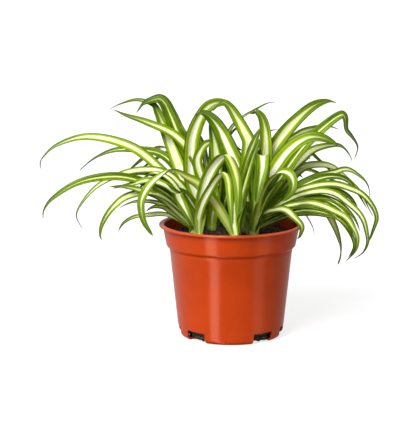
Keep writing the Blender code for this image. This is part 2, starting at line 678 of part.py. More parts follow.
def make_crown(name, leaves, parts):
    """A crown's stub with all its leaves fused to it."""
    x, y = CROWNS[name]
    bpy.ops.mesh.primitive_cone_add(
        vertices=STUB_SIDES,
        radius1=STUB_RADIUS,
        radius2=STUB_TOP_RADIUS,
        depth=STUB_DEPTH + STUB_HEIGHT,
        location=(x, y, SOIL_TOP + (STUB_HEIGHT - STUB_DEPTH) / 2),
    )
    crown = bpy.context.active_object
    crown.name = name
    bpy.context.collection.objects.unlink(crown)
    parts.objects.link(crown)
    blades = add_collection(name + "_leaves")
    for _, points, width, roll in leaves:
        path = smooth_path(points)
        add_object("leaf", leaf_mesh(path, width, roll), blades)
    crown.data.transform(crown.matrix_world)
    crown.matrix_world.identity()
    fuse(crown, blades)
    return crown


def finish(obj, material):
    """Give the object its material and smooth shading with sharp edges kept."""
    obj.data.materials.clear()
    obj.data.materials.append(material)
    obj.data.shade_smooth()
    obj.data.set_sharp_from_angle(angle=SHARP_EDGE)


def main():
    for obj in list(bpy.data.objects):
        bpy.data.objects.remove(obj)
    parts = add_collection("potted_spider_plant")
    notches = add_collection("notch_cutters")
    holes = add_collection("hole_cutters")

    plastic = add_material("terracotta_plastic", TERRACOTTA, 0.3)
    earth = add_material("dark_soil", DARK_EARTH, 0.95)
    root_skin = add_material("pale_root", PALE_ROOT, 0.7)
    blade = add_material("striped_leaf", LEAF_GREEN, 0.45)

    finish(make_roots(parts), root_skin)
    leaves = leaf_list()
    for name in CROWNS:
        finish(make_crown(name, [leaf for leaf in leaves if leaf[0] == name], parts), blade)
    finish(make_soil(parts, holes), earth)
    finish(make_pot(parts, notches), plastic)


main()
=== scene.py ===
"""The looks of a spider plant in a plastic nursery pot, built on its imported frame.

Metres, +Z up. The origin is the middle of the pot's underside. The front faces -Y.
"""

import json
import random
from math import acos, cos, degrees, exp, hypot, pi, radians, sin, sqrt, tau

import bmesh
import bpy
from mathutils import Matrix, Vector, noise
from mathutils.geometry import interpolate_bezier

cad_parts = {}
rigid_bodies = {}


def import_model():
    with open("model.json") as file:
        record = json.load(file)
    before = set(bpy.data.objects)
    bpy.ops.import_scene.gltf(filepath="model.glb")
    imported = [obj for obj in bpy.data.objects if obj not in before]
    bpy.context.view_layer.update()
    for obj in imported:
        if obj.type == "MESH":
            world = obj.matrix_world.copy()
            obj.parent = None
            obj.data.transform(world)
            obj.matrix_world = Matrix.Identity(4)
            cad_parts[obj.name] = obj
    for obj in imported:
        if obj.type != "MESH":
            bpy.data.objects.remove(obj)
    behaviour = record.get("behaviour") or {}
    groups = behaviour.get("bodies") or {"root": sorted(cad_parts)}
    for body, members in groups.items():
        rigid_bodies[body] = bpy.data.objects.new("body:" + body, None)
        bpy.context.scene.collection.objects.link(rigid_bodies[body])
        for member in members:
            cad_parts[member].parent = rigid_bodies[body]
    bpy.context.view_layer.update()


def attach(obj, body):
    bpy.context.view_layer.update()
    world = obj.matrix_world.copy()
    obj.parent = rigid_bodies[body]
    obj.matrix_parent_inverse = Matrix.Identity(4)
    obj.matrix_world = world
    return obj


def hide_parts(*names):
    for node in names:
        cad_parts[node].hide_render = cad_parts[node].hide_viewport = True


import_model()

MM = 0.001
MERGE = 0.00001
CLEARANCE = 0.3 * MM
ROUND_STEPS = 144
ARC_STEPS = 6

# Pot
POT_HEIGHT = 77 * MM
POT_WALL = 1.1 * MM
POT_FLOOR = 1.4 * MM
BASE_RADIUS = 36 * MM
BASE_ROUNDING = 3.5 * MM
BODY_TOP_RADIUS = 41.9 * MM
COLLAR_HEIGHT = 16.3 * MM
COLLAR_LOW_RADIUS = 44.3 * MM
COLLAR_TOP_RADIUS = 46.5 * MM
COLLAR_ROUNDING = 3 * MM
LIP_RADIUS = 49 * MM
LIP_THICKNESS = 1.8 * MM
LIP_ROUNDING = 0.8 * MM
LIP_FILLET = 1.3 * MM
SHOULDER_HEIGHT = 2.6 * MM
SHOULDER_STEP = 0.25 * MM
FOOT_RADIUS = 30.5 * MM
FOOT_RECESS = 0.5 * MM
POT_SHARP_ANGLE = 35

# Drainage notches, cut through the pot's lower edge in three pairs
NOTCH_WIDTH = 15.3 * MM
NOTCH_HEIGHT = 7.3 * MM
NOTCH_DEPTH = 16 * MM
NOTCH_PAIRS = 3
NOTCH_ANGLES = (36.5, 78)

# Soil
SOIL_TOP = 69.5 * MM
SOIL_EDGE_DROP = 1.2 * MM
SOIL_RINGS = 60
SOIL_STEPS = 180
SOIL_INNER_EDGE = 0.96
SOIL_LEDGE = 1.5 * MM
SOIL_LUMP_SIZE = 7 * MM
SOIL_LEVEL_RADIUS = 5 * MM
SOIL_LUMPS = ((7 * MM, 1 * MM), (2.4 * MM, 0.7 * MM), (1 * MM, 0.35 * MM))
SOIL_LEAST_LUMPS = 0.15
SOIL_SIDE_DENTS = (2.4 * MM, 0.02)

# Crumbs of soil. A pair is the lowest and the highest value of a random draw.
CRUMB_SEED = 21
CRUMB_COUNT = 620
CRUMB_SIZE = (0.35 * MM, 1.5 * MM)
CRUMB_SIZE_POWER = 2.5
CRUMB_FINE_SIZE = 0.9 * MM
CRUMB_LENGTH = (0.8, 1.5)
CRUMB_HEIGHT = (0.6, 0.9)
CRUMB_LIFT = (0, 0.4)
CRUMB_DENTS = 1.3
CRUMB_DENT_DEPTH = 0.35
NOTCH_CRUMB_COUNT = 70
NOTCH_CRUMB_SIZE = (0.8 * MM, 1.7 * MM)
NOTCH_CRUMB_REACH = (4.2 * MM, 9 * MM)
NOTCH_CRUMB_LIFT = 1.1
NOTCH_CRUMB_RISE = 4 * MM

# Fibres, with the pairs in mm
FIBRE_SEED = 8
FIBRE_COUNT = 90
FIBRE_POINTS = 6
FIBRE_LENGTH = (3, 9)
FIBRE_RADIUS = (0.09, 0.24)
FIBRE_BEND = 1.6
FIBRE_WALL_MARGIN = 5 * MM
FIBRE_SINK = 0.1 * MM
FIBRE_LIFT = 0.3 * MM
FIBRE_CURLED_LIFT = (1, 4)
FIBRE_CURLED_EVERY = 6

# Roots
ROOT_SEED = 5
ROOT_THICKNESS = 1.2 * MM
ROOT_THICKNESS_SHARE = (0.75, 1)
ROOT_THINNING = 0.35
ROOT_COUNT = 8
ROOT_POINTS = 7
ROOT_TOP = 60.5 * MM
ROOT_END = 8 * MM
ROOT_SCATTER = 0.2
ROOT_SWING = (3, 7)
ROOT_WAVES = 0.8
BRANCH_POINTS = 6
BRANCH_DROP = 2
ROOT_RING_HEIGHT = 11 * MM
ROOT_RING_SWING = 1.5 * MM
ROOT_RING_WAVES = 4
ROOT_RING_POINTS = 28
FINE_ROOT_SEED = 3
FINE_ROOT_COUNT = 60
FINE_ROOT_POINTS = 8
FINE_ROOT_LOWEST_TOP = 16 * MM
FINE_ROOT_THICKNESS = (0.3, 0.6)
FINE_ROOT_FALL = (8, 30)
FINE_ROOT_SLANT = (-14, 14)
FINE_ROOT_SWING = 3
FINE_ROOT_WAVES = 5
FINE_ROOT_THINNING = 0.6

# Crowns: where each stub stands on the soil, across and towards the back
CROWNS = {
    "crown_left": (-24.5 * MM, 0),
    "crown_front_left": (-22 * MM, -14 * MM),
    "crown_front": (2.7 * MM, -18 * MM),
    "crown_right": (15 * MM, -4 * MM),
    "crown_back": (-13 * MM, 15 * MM),
    "crown_back_right": (12 * MM, 20 * MM),
}
STUB_RADIUS = 4.6 * MM
STUB_TOP_RADIUS = 3 * MM
STUB_DEPTH = 7.7 * MM
STUB_HEIGHT = 3 * MM
STUB_SIDES = 36
STUB_RINGS = 12
STUB_RIBS = 5
STUB_RIB_LEAN = 2
STUB_RIB_DEPTH = 0.1

# Leaves
LEAF_SEGMENT_LENGTH = 3.2 * MM
LEAF_SEGMENTS = (26, 64)
BEND_LENGTH = 12 * MM
LEAF_THICKNESS = 0.5 * MM
LEAF_RIB = 0.25 * MM
LEAF_RIB_WIDTH = 0.12
LEAF_EDGE_THINNING = 0.45
LEAF_THIN_BELOW = 2 * MM
LEAF_ACROSS = (-1, -0.84, -0.6, -0.35, -0.14, 0, 0.14, 0.35, 0.6, 0.84, 1)
LEAF_FOLD = 24
LEAF_SHEATH_FOLD = 34
LEAF_SHEATH = 0.16
LEAF_CREASE = 0.06
LEAF_RECURVE = 0.1
LEAF_TWIST = 16
LEAF_TWIST_NOISE = (2.5, 7.3)
LEAF_WAVE = 0.05
LEAF_WAVE_NOISE = (9, 3.1, 5)
LEAF_SHARP_ANGLE = 70
LEAF_BASE_SPREAD = 1.8 * MM
LEAF_BASE_HEIGHT = 2.5 * MM
LEAF_ROOT_SPREAD = 2.6 * MM
LEAF_ROOT_DEPTH = 2 * MM
LEAF_BASE_WIDTH = 0.5
LEAF_WIDEST = 0.22
LEAF_TAPER = 0.45
LEAF_TAPER_BEND = 0.44
ROLL_FADE = 9
TWIST_LENGTH = 0.4
REACH_BEND = 1.3
CURVE_STEPS = 24

# The looks of a leaf: how much of its half width the pale stripe takes, how white the
# stripe is, how bright the green is, and how dry the leaf is
LEAF_LOOKS = {
    "white": (0.37, 0.95, 0.45, 0),
    "cream": (0.41, 0.5, 0.4, 0.1),
    "pale": (0.46, 0.6, 0.5, 0),
    "slim": (0.33, 0.5, 0.35, 0.1),
    "green": (0.13, 0.25, 0.12, 0.05),
    "thin": (0.2, 0.3, 0, 0.4),
    "band": (0.27, 0.9, 0.2, 0),
    # Painted light: a bright green that stands in for light shining through a leaf in shade.
    "fresh": (0.2, 0.2, 0.9, 0),
    "olive": (0.4, 0.1, 0.3, 0.75),
}
LOOK_SEED = 17
STRIPE_VARIES = (0.85, 1.15)
WHITE_VARIES = (0.8, 1)
GREEN_VARIES = (-0.15, 0.15)

# The sides of a crown's mesh, as the places of their materials in its list
UPPER, UNDER, SHEATH = 0, 1, 2

# How far a stripe's edge wanders and how ragged it is, in half widths to either side
STRIPE_DRIFT = 0.12
STRIPE_RAGGED = 0.11

# The leaves that show from the front are drawn as they look from this point, in the
# plane of the pot's axis. Each is then slid along its lines of sight to its own depth.
FRONT_EYE = Vector((-15 * MM, -904 * MM, 241 * MM))

# Each leaf: its width, how far its face rolls to the front in degrees (or a pair, for a
# twisted leaf's base and tip), how far its tip comes forward of its crown, its look, and
# the points it passes (across, above the soil), in mm.
FRONT_LEAVES = {}
FRONT_LEAVES["crown_left"] = [
    (6.5, 50, 15, "green", (-33, 17), (-48, 30), (-65, 37), (-81, 39), (-103, 35), (-121, 24), (-127, 16),
     (-128, 9)),
    (6, 50, 28, "cream", (-38, 15), (-50, 25), (-63, 30), (-73, 32), (-83, 32)),
    (6, 40, 40, "cream", (-32, 12), (-40, 20), (-47, 25), (-56, 28), (-65, 27), (-73, 24), (-79, 19),
     (-84, 13), (-88, 5), (-89, -1), (-88, -5)),
    (8, 0, 16, "white", (-27, 12), (-33, 22), (-36, 27), (-34, 22), (-29, 12), (-25, 4)),
    (5.5, 40, 6, "cream", (-35, 10), (-42, 15), (-47, 18), (-53, 18), (-58, 15)),
    (5.5, 30, 20, "cream", (-33, 7), (-40, 11), (-47, 13), (-58, 12), (-66, 11), (-73, 7), (-77, 1)),
    (4, 40, -25, "thin", (-38, 15), (-50, 21), (-64, 22), (-71, 20), (-77, 17)),
    (6, 50, 6, "green", (-25, 11), (-31, 22), (-40, 29), (-50, 34), (-61, 35), (-69, 33)),
    (8, 70, 0, "green", (-24, 9), (-26, 19), (-31, 27), (-36, 32)),
]
FRONT_LEAVES["crown_front_left"] = [
    (6, (140, 200), 56, "white", (-22, 10), (-19, 21), (-14, 31), (-9, 39), (-5, 42), (-2, 38), (-1, 27),
     (0, 15), (1, 5)),
    (8.5, (140, 200), 50, "white", (-20, 17), (-19, 27), (-15, 40), (-9, 50), (-3, 54), (1, 49), (4, 39),
     (5, 25), (4, 10)),
]
FRONT_LEAVES["crown_back"] = [
    (7, 55, -35, "cream", (-31, 25), (-48, 44), (-67, 59), (-95, 66), (-116, 61), (-128, 51), (-129, 44)),
    (6.5, 50, -55, "green", (-36, 43), (-47, 54), (-61, 57), (-78, 57), (-93, 51), (-103, 43)),
    (5.5, 50, -15, "cream", (-38, 37), (-49, 43), (-65, 43), (-78, 39), (-91, 32), (-101, 21), (-105, 12),
     (-101, 3)),
    (6, 45, -25, "green", (-24, 20), (-30, 28), (-39, 35), (-50, 40), (-61, 41), (-73, 39)),
    (7, 70, -10, "cream", (-17, 23), (-21, 41), (-27, 55), (-39, 68), (-57, 76), (-72, 81), (-80, 85)),
    (10, 75, -20, "pale", (-26, 23), (-35, 46), (-42, 65), (-49, 82), (-53, 89), (-57, 90)),
    (11.5, 65, -20, "green", (-21, 37), (-31, 60), (-37, 71), (-41, 81), (-47, 91), (-55, 90), (-59, 88),
     (-64, 82)),
    (4.5, 50, -30, "thin", (-31, 59), (-42, 72), (-49, 83), (-53, 88), (-63, 91), (-75, 88), (-83, 84)),
    (11, 80, -8, "white", (-26, 33), (-27, 60), (-24, 73), (-18, 84), (-13, 88), (-6, 89), (0, 87),
     (5, 82)),
    (9.5, 143, 4, "cream", (-8, 33), (-10, 54), (-12, 66), (-14.5, 75), (-16, 83)),
    (8, 70, 0, "green", (-8, 12), (-4, 26), (-2, 40), (-3, 52)),
    (9, 70, 4, "green", (-11, 9), (-9, 28), (-7, 46), (-5, 62)),
    (8, 75, 2, "cream", (-10, 10), (-4, 26), (0, 42), (2, 57)),
    (3.6, 20, -35, "thin", (-7, 37), (-5, 60), (0, 72), (7, 79), (17, 85), (25, 89), (31, 89)),
    (7, 60, -10, "cream", (-20, 22), (-25, 31), (-32, 37), (-39, 40), (-46, 42)),
    (8, 70, -6, "green", (-20, 19), (-24, 36), (-28, 47), (-31, 56)),
    (7.5, 76, -3, "white", (-20, 38), (-23, 50), (-20, 58), (-15.5, 62), (-10, 60), (-6, 53)),
    (8, 150, 16, "fresh", (-13, 9), (-11, 20), (-8, 34)),
]
FRONT_LEAVES["crown_front"] = [
    (8, (-85, 65), 8, "white", (-7, 15), (-15, 26), (-21, 33), (-30, 38), (-40, 43), (-48, 39), (-55, 33),
     (-60, 25), (-61, 18), (-59, 8), (-53, -2)),
    (9, 0, -10, "white", (3, 7), (5, 14), (8, 21), (11, 20), (11, 14)),
    (5, 150, 4, "pale", (2, 10), (3, 23), (4, 28)),
    (7, 60, -15, "green", (6, 12), (7, 24), (10, 37), (15, 54), (20, 66)),
]
FRONT_LEAVES["crown_right"] = [
    (13, 75, -14, "band", (7, 27), (4, 45), (-1, 57), (-6, 68), (-12, 77), (-19, 82), (-25, 80)),
    (10.5, 0, 35, "white", (19, 27), (21, 43), (21, 53), (21, 45), (19, 33), (17, 20)),
    (11, 75, 15, "white", (21, 27), (29, 43), (39, 57), (50, 65), (58, 66), (67, 63), (73, 59)),
    (5.5, 50, -15, "slim", (29, 20), (44, 32), (58, 39), (70, 42), (78, 44), (86, 40), (92, 34), (94, 27),
     (93, 24)),
    (5, (50, 80), 10, "slim", (29, 15), (43, 28), (58, 33), (70, 34), (81, 31), (89, 27), (96, 19),
     (99, 11), (97, 3), (94, -6)),
    (5, 50, 25, "slim", (29, 17), (43, 25), (53, 28), (63, 29), (71, 27), (78, 22), (86, 15), (90, 9),
     (92, 2), (93, -6), (90, -13), (83, -18)),
    (5, 40, 40, "slim", (22, 11), (32, 17), (45, 20), (53, 21), (62, 19), (71, 15), (78, 11), (83, 4),
     (86, -3), (85, -11), (78, -20)),
    (4.5, 30, 5, "thin", (37, 11), (45, 13), (58, 13), (68, 11), (76, 10), (81, 7)),
    (6, 40, 25, "cream", (22, 13), (30, 16), (37, 16), (43, 11), (48, 5), (47, -1), (45, -4)),
    (9, 30, 32, "white", (18, 13), (23, 30), (29, 39), (35, 42), (40, 40), (42, 35), (41, 29), (35, 22)),
    (7, 50, 18, "green", (21, 15), (26, 27), (33, 35), (38, 37)),
    (8, 75, -3, "cream", (10, 22), (9, 38), (13, 56), (20, 73)),
    (10, 67, -12, "cream", (10, 40), (12, 62), (8, 71), (3, 80), (-1, 86), (-5, 89), (-9, 87), (-13, 83)),
    (6, 45, -8, "green", (29, 19), (47, 32), (61, 38), (71, 39), (79, 36), (86, 27), (93, 16)),
    (5.5, 45, 0, "green", (33, 18), (48, 26), (63, 30), (73, 29), (81, 24), (86, 16), (89, 7)),
    (6.5, 40, 12, "green", (20, 9), (27, 13), (36, 15), (45, 12)),
    (5, 45, 15, "slim", (27, 14), (36, 20), (48, 24), (60, 25), (69, 23), (77, 18), (84, 10), (88, 1)),
    (5, 40, 32, "green", (29, 10), (40, 14), (52, 16), (64, 14), (73, 10), (80, 3), (83, -6)),
    (5, 45, 20, "green", (30, 14), (46, 22), (60, 24), (70, 20), (79, 12), (84, 3), (85, -5), (82, -13)),
    (5, 45, 36, "slim", (28, 12), (42, 18), (54, 19), (66, 16), (76, 8), (82, -1), (84, -9), (80, -17)),
]
FRONT_LEAVES["crown_back_right"] = [
    (10.5, 10, -14, "cream", (21, 30), (23, 53), (23, 67), (21, 78), (17, 83), (12, 82)),
    (10.5, 75, -30, "cream", (21, 30), (27, 55), (35, 68), (45, 79), (55, 87), (64, 90), (71, 89)),
    (8, 60, -10, "green", (27, 28), (36, 42), (50, 61), (65, 75), (74, 81), (76, 79), (77, 71), (81, 66),
     (85, 59), (83, 51)),
    (7, 55, -45, "cream", (25, 37), (32, 55), (46, 68), (57, 72), (66, 73), (73, 71)),
    (7, 50, -25, "cream", (29, 27), (39, 42), (47, 50), (55, 57), (65, 60), (73, 60), (79, 55), (82, 49)),
    (6.5, 45, -43, "pale", (45, 42), (51, 46), (61, 47), (69, 45), (74, 41), (81, 35), (87, 29), (92, 20),
     (97, 11)),
    (7.5, 75, -50, "olive", (29, 19), (41, 25), (52, 24), (61, 19), (68, 9), (73, -3), (75, -13),
     (73, -22)),
    (3, 30, -5, "thin", (29, 12), (41, 15), (49, 14), (53, 9), (56, 3), (57, -3)),
    (7, 60, 0, "green", (15, 15), (13, 25), (15, 46), (16, 51)),
    (3, 40, -15, "thin", (20, 50), (25, 69), (31, 71), (33, 70)),
    (7, 60, -33, "green", (26, 32), (35, 43), (42, 49), (49, 53), (57, 54)),
    (8, 70, -5, "green", (7, 13), (3, 25), (1, 38), (-1, 50)),
    (8, 70, -8, "green", (6, 8), (1, 15), (-2, 26), (-4, 38)),
]

# Leaves placed by rule: the crown, how many, the headings they cover (0 is to the right,
# 90 to the back), their reach and rise in mm, and how far the tip sinks again, as a share of
# the rise. The first three rows arch away, and the others are young leaves inside a crown.
RULE_LEAVES = [
    ("crown_left", 3, (150, 205), (40, 58), (26, 38), (0.1, 0.6)),
    ("crown_back", 6, (75, 160), (65, 98), (34, 52), (0.1, 0.6)),
    ("crown_back_right", 5, (15, 85), (65, 98), (34, 52), (0.1, 0.6)),
    ("crown_left", 2, (-40, 50), (12, 24), (34, 46), (0, 0.15)),
    ("crown_right", 3, (20, 110), (10, 26), (42, 62), (0, 0.15)),
    ("crown_back", 4, (-10, 150), (8, 30), (50, 70), (0, 0.15)),
    ("crown_back_right", 3, (5, 90), (12, 28), (36, 50), (0, 0.15)),
]
RULE_LEAF_SEED = 11
RULE_LEAF_WIDTH = (6, 9)
RULE_LEAF_ROLL = (-25, 25)
RULE_LEAF_SPREAD = (0.2, 0.8)
RULE_LEAF_LOOKS = ("cream", "green", "white", "cream", "pale", "green")

# The arch of such a leaf, as shares of its reach and its rise, before the tip sinks
RULE_LEAF_ARCH = ((0.14, 0.5), (0.32, 0.86), (0.55, 1), (0.78, 0.98))
RULE_LEAF_SAG = 0.4

# Camera, at FRONT_EYE, with its lens and its sensor in mm
CAMERA_TARGET = Vector((-15 * MM, 0, 83 * MM))
CAMERA_LENS = 113.5
CAMERA_SENSOR = 36
CAMERA_CLIP = (0.05, 60)

# Light: how bright the floor glows on things and to the camera, the world's strength at the
# far left and the far right, and tall panels, each with the headings it covers (0 is the
# front, 90 the right), how soft its edges are, in degrees, and its strength
FLOOR_SIZE = 60
FLOOR_GLOW = (0.1, 0.75)
WORLD_GLOW = (0.6, 0.35)
STUDIO_PANELS = ((-47, -27, 1.5, 6), (49, 73, 7, 1.2))
PANEL_TOP = 0.5
DARK_BELOW = (-0.85, -0.45)
SUN_STRENGTH = 3.4
SUN_ANGLE = 30
SUN_DIRECTION = (0.4, 0.64, -0.68)


def add_object(name, data):
    obj = bpy.data.objects.new(name, data)
    bpy.context.scene.collection.objects.link(obj)
    return obj


def evaluated_mesh(obj):
    """The object's mesh with its modifiers applied. The object is removed."""
    depsgraph = bpy.context.evaluated_depsgraph_get()
    mesh = bpy.data.meshes.new_from_object(obj.evaluated_get(depsgraph))
    bpy.data.objects.remove(obj)
    return mesh


def shares(count):
    """As many numbers in even steps from 0 to 1."""
    return [step / (count - 1) for step in range(count)]


def dress(obj, materials, slot, *nodes):
    """Give a piece its materials, its body and the nodes it replaces. The slot is not used."""
    for material in materials:
        obj.data.materials.append(material)
    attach(obj, "root")
    if nodes:
        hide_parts(*nodes)


# Materials


class Nodes:
    """A tree of shader nodes."""

    def __init__(self, tree):
        self.tree = tree

    def feed(self, socket, value):
        if isinstance(value, bpy.types.NodeSocket):
            self.tree.links.new(value, socket)
        else:
            socket.default_value = value

    def add(self, kind, inputs, **settings):
        node = self.tree.nodes.new("ShaderNode" + kind)
        for setting, value in settings.items():
            setattr(node, setting, value)
        for socket, value in inputs.items():
            self.feed(node.inputs[socket], value)
        return node

    def math(self, operation, *values):
        return self.add("Math", dict(enumerate(values)), operation=operation).outputs[0]

    def times(self, first, second):
        return self.math("MULTIPLY", first, second)

    def noise(self, vector, scale, detail=2, roughness=0.5):
        """Soft noise from 0 to 1, finer with a higher scale."""
        inputs = {"Vector": vector, "Scale": scale, "Detail": detail, "Roughness": roughness}
        return self.add("TexNoise", inputs).outputs[0]

    def step(self, value, low, high, start=0, end=1):
        """A soft step from start to end as the value goes from low to high."""
        inputs = {"Value": value, "From Min": low, "From Max": high, "To Min": start, "To Max": end}
        return self.add("MapRange", inputs, interpolation_type="SMOOTHSTEP").outputs[0]

    def vector(self, x, y, z):
        return self.add("CombineXYZ", {0: x, 1: y, 2: z}).outputs[0]

    def mix(self, factor, first, second):
        """A mix of two colours, given as sockets or as (red, green, blue)."""
        first, second = (value if isinstance(value, bpy.types.NodeSocket) else (*value, 1)
                         for value in (first, second))
        return self.add("Mix", {0: factor, 6: first, 7: second}, data_type="RGBA").outputs[2]


class Shader(Nodes):
    """A material and its Principled shader."""

    def __init__(self, name):
        self.material = bpy.data.materials.new(name)
        self.material.use_nodes = True
        super().__init__(self.material.node_tree)
        self.surface = self.tree.nodes["Principled BSDF"]

    def place(self):
        return self.add("TexCoord", {}).outputs["Object"]

    def bump(self, height, strength, distance):
        inputs = {"Height": height, "Strength": strength, "Distance": distance}
        return self.add("Bump", inputs).outputs[0]

    def finish(self, colour, roughness, **others):
        inputs = {"Base Color": colour, "Roughness": roughness, **others}
        for socket, value in inputs.items():
            self.feed(self.surface.inputs[socket.replace("_", " ")], value)
        return self.material


def pot_material():
    """Glossy terracotta-coloured plastic, with a painted highlight on the lip and a dull foot."""
    nodes = Shader("terracotta_plastic")
    deep, bright = (0.49, 0.045, 0.003), (0.55, 0.052, 0.004)
    highlight_pink, dull = (0.7, 0.16, 0.07), (0.46, 0.055, 0.012)
    place = nodes.place()
    height = nodes.add("SeparateXYZ", {0: place}).outputs["Z"]
    clouds = nodes.noise(place, 45, 3)
    grain = nodes.noise(place, 900)
    colour = nodes.mix(nodes.step(clouds, 0.3, 0.7), deep, bright)
    # Painted highlight: the pot turns a lighter pink towards the top of its lip.
    lip_highlight = nodes.step(height, POT_HEIGHT - LIP_THICKNESS, POT_HEIGHT, 0, 0.35)
    colour = nodes.mix(lip_highlight, colour, highlight_pink)
    foot = nodes.times(nodes.step(height, 12 * MM, 0, 0, 0.5), nodes.step(clouds, 0.4, 0.7))
    colour = nodes.mix(foot, colour, dull)
    roughness = nodes.step(nodes.noise(place, 90, 4), 0.25, 0.75, 0.15, 0.22)
    return nodes.finish(colour, roughness, Normal=nodes.bump(grain, 0.02, 0.1 * MM),
                        Specular_IOR_Level=0.3, Specular_Tint=(1, 0.62, 0.45, 1))


def leaf_material(name, under):
    """A striped blade, drawn in the leaf's own coordinates: across, along and its number."""
    nodes = Shader(name)
    coord = nodes.add("Attribute", {}, attribute_name="leaf_coord").outputs["Vector"]
    look = nodes.add("Attribute", {}, attribute_name="leaf_look").outputs
    across, along, number = nodes.add("SeparateXYZ", {0: coord}).outputs
    stripe, white, tone = nodes.add("SeparateColor", {0: look["Color"]}).outputs
    dry = look["Alpha"]
    off_rib = nodes.math("ABSOLUTE", across)

    seed = nodes.times(number, 37)
    wander = nodes.noise(nodes.vector(seed, nodes.times(along, 5), 0), 1, 1)

    def blade_noise(fine_across, fine_along, *rest):
        x, y = nodes.times(across, fine_across), nodes.times(along, fine_along)
        return nodes.noise(nodes.vector(x, y, seed), 1, *rest)

    veins = blade_noise(7, 0.9, 3, 0.7)
    patches = blade_noise(1, 9)
    ridges = blade_noise(16, 1.5)
    drift = nodes.math("MULTIPLY_ADD", wander, 2 * STRIPE_DRIFT, -STRIPE_DRIFT)
    ragged = nodes.math("MULTIPLY_ADD", veins, 2 * STRIPE_RAGGED, -STRIPE_RAGGED)
    edge = nodes.math("ADD", nodes.math("ADD", off_rib, drift), ragged)
    narrowing = nodes.step(along, 0.97, 0.6)
    inside = nodes.math("SUBTRACT", nodes.times(stripe, narrowing), edge)
    in_stripe = nodes.step(inside, -0.035, 0.045)
    halo = nodes.step(inside, -0.3, 0.05)

    sheath, scorch, fade = (0.4, 0.5, 0.08), (0.2, 0.1, 0.03), (0.22, 0.16, 0.05)
    if under:
        deep, bright, halo_green = (0.075, 0.15, 0.004), (0.31, 0.46, 0.012), (0.5, 0.63, 0.05)
        yellow, cream = (0.56, 0.63, 0.1), (0.7, 0.73, 0.27)
    else:
        deep, bright, halo_green = (0.034, 0.076, 0.001), (0.31, 0.48, 0.007), (0.58, 0.72, 0.045)
        yellow, cream = (0.79, 0.86, 0.32), (0.95, 0.96, 0.8)
    shade = nodes.math("ADD", tone, nodes.step(veins, 0.35, 0.65, -0.3, 0.3))
    green = nodes.mix(shade, deep, bright)
    green = nodes.mix(nodes.step(patches, 0.45, 0.75, 0, 0.35), green, bright)
    halo_share = nodes.step(stripe, 0.12, 0.36, 0.2, 0.6)
    green = nodes.mix(nodes.times(halo, halo_share), green, halo_green)
    green = nodes.mix(nodes.step(veins, 0.57, 0.66, 0, 0.45), green, halo_green)
    green = nodes.mix(nodes.step(off_rib, 0.8, 1, 0, 0.9), green, deep)
    pale = nodes.mix(white, yellow, cream)
    pale = nodes.mix(nodes.step(veins, 0.52, 0.63, 0, 0.5), pale, halo_green)
    colour = nodes.mix(in_stripe, green, pale)

    # Towards its foot a leaf turns to the pale sheath colour: partly the real pale leaf base, partly
    # painted light that brightens the shaded lower leaves.
    colour = nodes.mix(nodes.step(along, 0.3, 0.03, 0, 0.65), colour, sheath)
    # Painted shade: the outer part of each leaf darkens towards its tip, to deep green.
    tip = nodes.step(along, 0.68, 0.97)
    colour = nodes.mix(nodes.times(tip, 0.7), colour, deep)
    scorched = nodes.times(nodes.step(along, 0.9, 0.99), nodes.step(dry, 0, 0.3))
    colour = nodes.mix(scorched, colour, scorch)
    faded = nodes.times(nodes.step(dry, 0.5, 1), nodes.step(patches, 0.2, 0.6, 0.4, 0.9))
    colour = nodes.mix(faded, colour, fade)

    smoothest, roughest = (0.46, 0.6) if under else (0.34, 0.46)
    roughness = nodes.step(veins, 0.3, 0.7, smoothest, roughest)
    return nodes.finish(colour, roughness, Normal=nodes.bump(ridges, 0.35, 0.12 * MM),
                        Specular_IOR_Level=0.2, Specular_Tint=(0.8, 1, 0.45, 1))


def sheath_material():
    """The pale, ribbed skin where a crown's leaves leave the soil."""
    nodes = Shader("leaf_sheath")
    green, pale, soil = (0.28, 0.4, 0.05), (0.56, 0.63, 0.2), (0.07, 0.045, 0.025)
    place = nodes.place()
    x, y, z = nodes.add("SeparateXYZ", {0: place}).outputs
    ribs = nodes.noise(nodes.vector(x, y, nodes.times(z, 0.15)), 900)
    colour = nodes.mix(nodes.step(ribs, 0.35, 0.65), green, pale)
    soiled = nodes.step(z, SOIL_TOP + 2.5 * MM, SOIL_TOP - MM, 0, 0.85)
    soiled = nodes.times(soiled, nodes.step(nodes.noise(place, 800, 3), 0.3, 0.6))
    colour = nodes.mix(soiled, colour, soil)
    return nodes.finish(colour, nodes.step(ribs, 0.3, 0.7, 0.45, 0.6),
                        Normal=nodes.bump(ribs, 0.4, 0.2 * MM))


def soil_material():
    """Damp peat, near black to reddish brown, with tan flecks."""
    nodes = Shader("dark_soil")
    black, brown, tan = (0.007, 0.004, 0.002), (0.045, 0.023, 0.012), (0.2, 0.1, 0.045)
    place = nodes.place()
    clods = nodes.noise(place, 420, 4, 0.7)
    specks = nodes.noise(place, 1500)
    colour = nodes.mix(nodes.step(clods, 0.35, 0.65), black, brown)
    colour = nodes.mix(nodes.step(specks, 0.58, 0.66, 0, 0.8), colour, tan)
    roughness = nodes.step(clods, 0.3, 0.7, 0.75, 0.97)
    height = nodes.math("ADD", clods, nodes.times(specks, 0.4))
    return nodes.finish(colour, roughness, Normal=nodes.bump(height, 0.9, 0.5 * MM))


def fibre_material():
    """Dry tan fibres and bits of bark in the soil."""
    nodes = Shader("soil_fibre")
    bark, straw = (0.09, 0.045, 0.02), (0.42, 0.27, 0.13)
    tint = nodes.noise(nodes.place(), 260)
    colour = nodes.mix(nodes.step(tint, 0.35, 0.65), bark, straw)
    return nodes.finish(colour, nodes.step(tint, 0.3, 0.7, 0.7, 0.9))


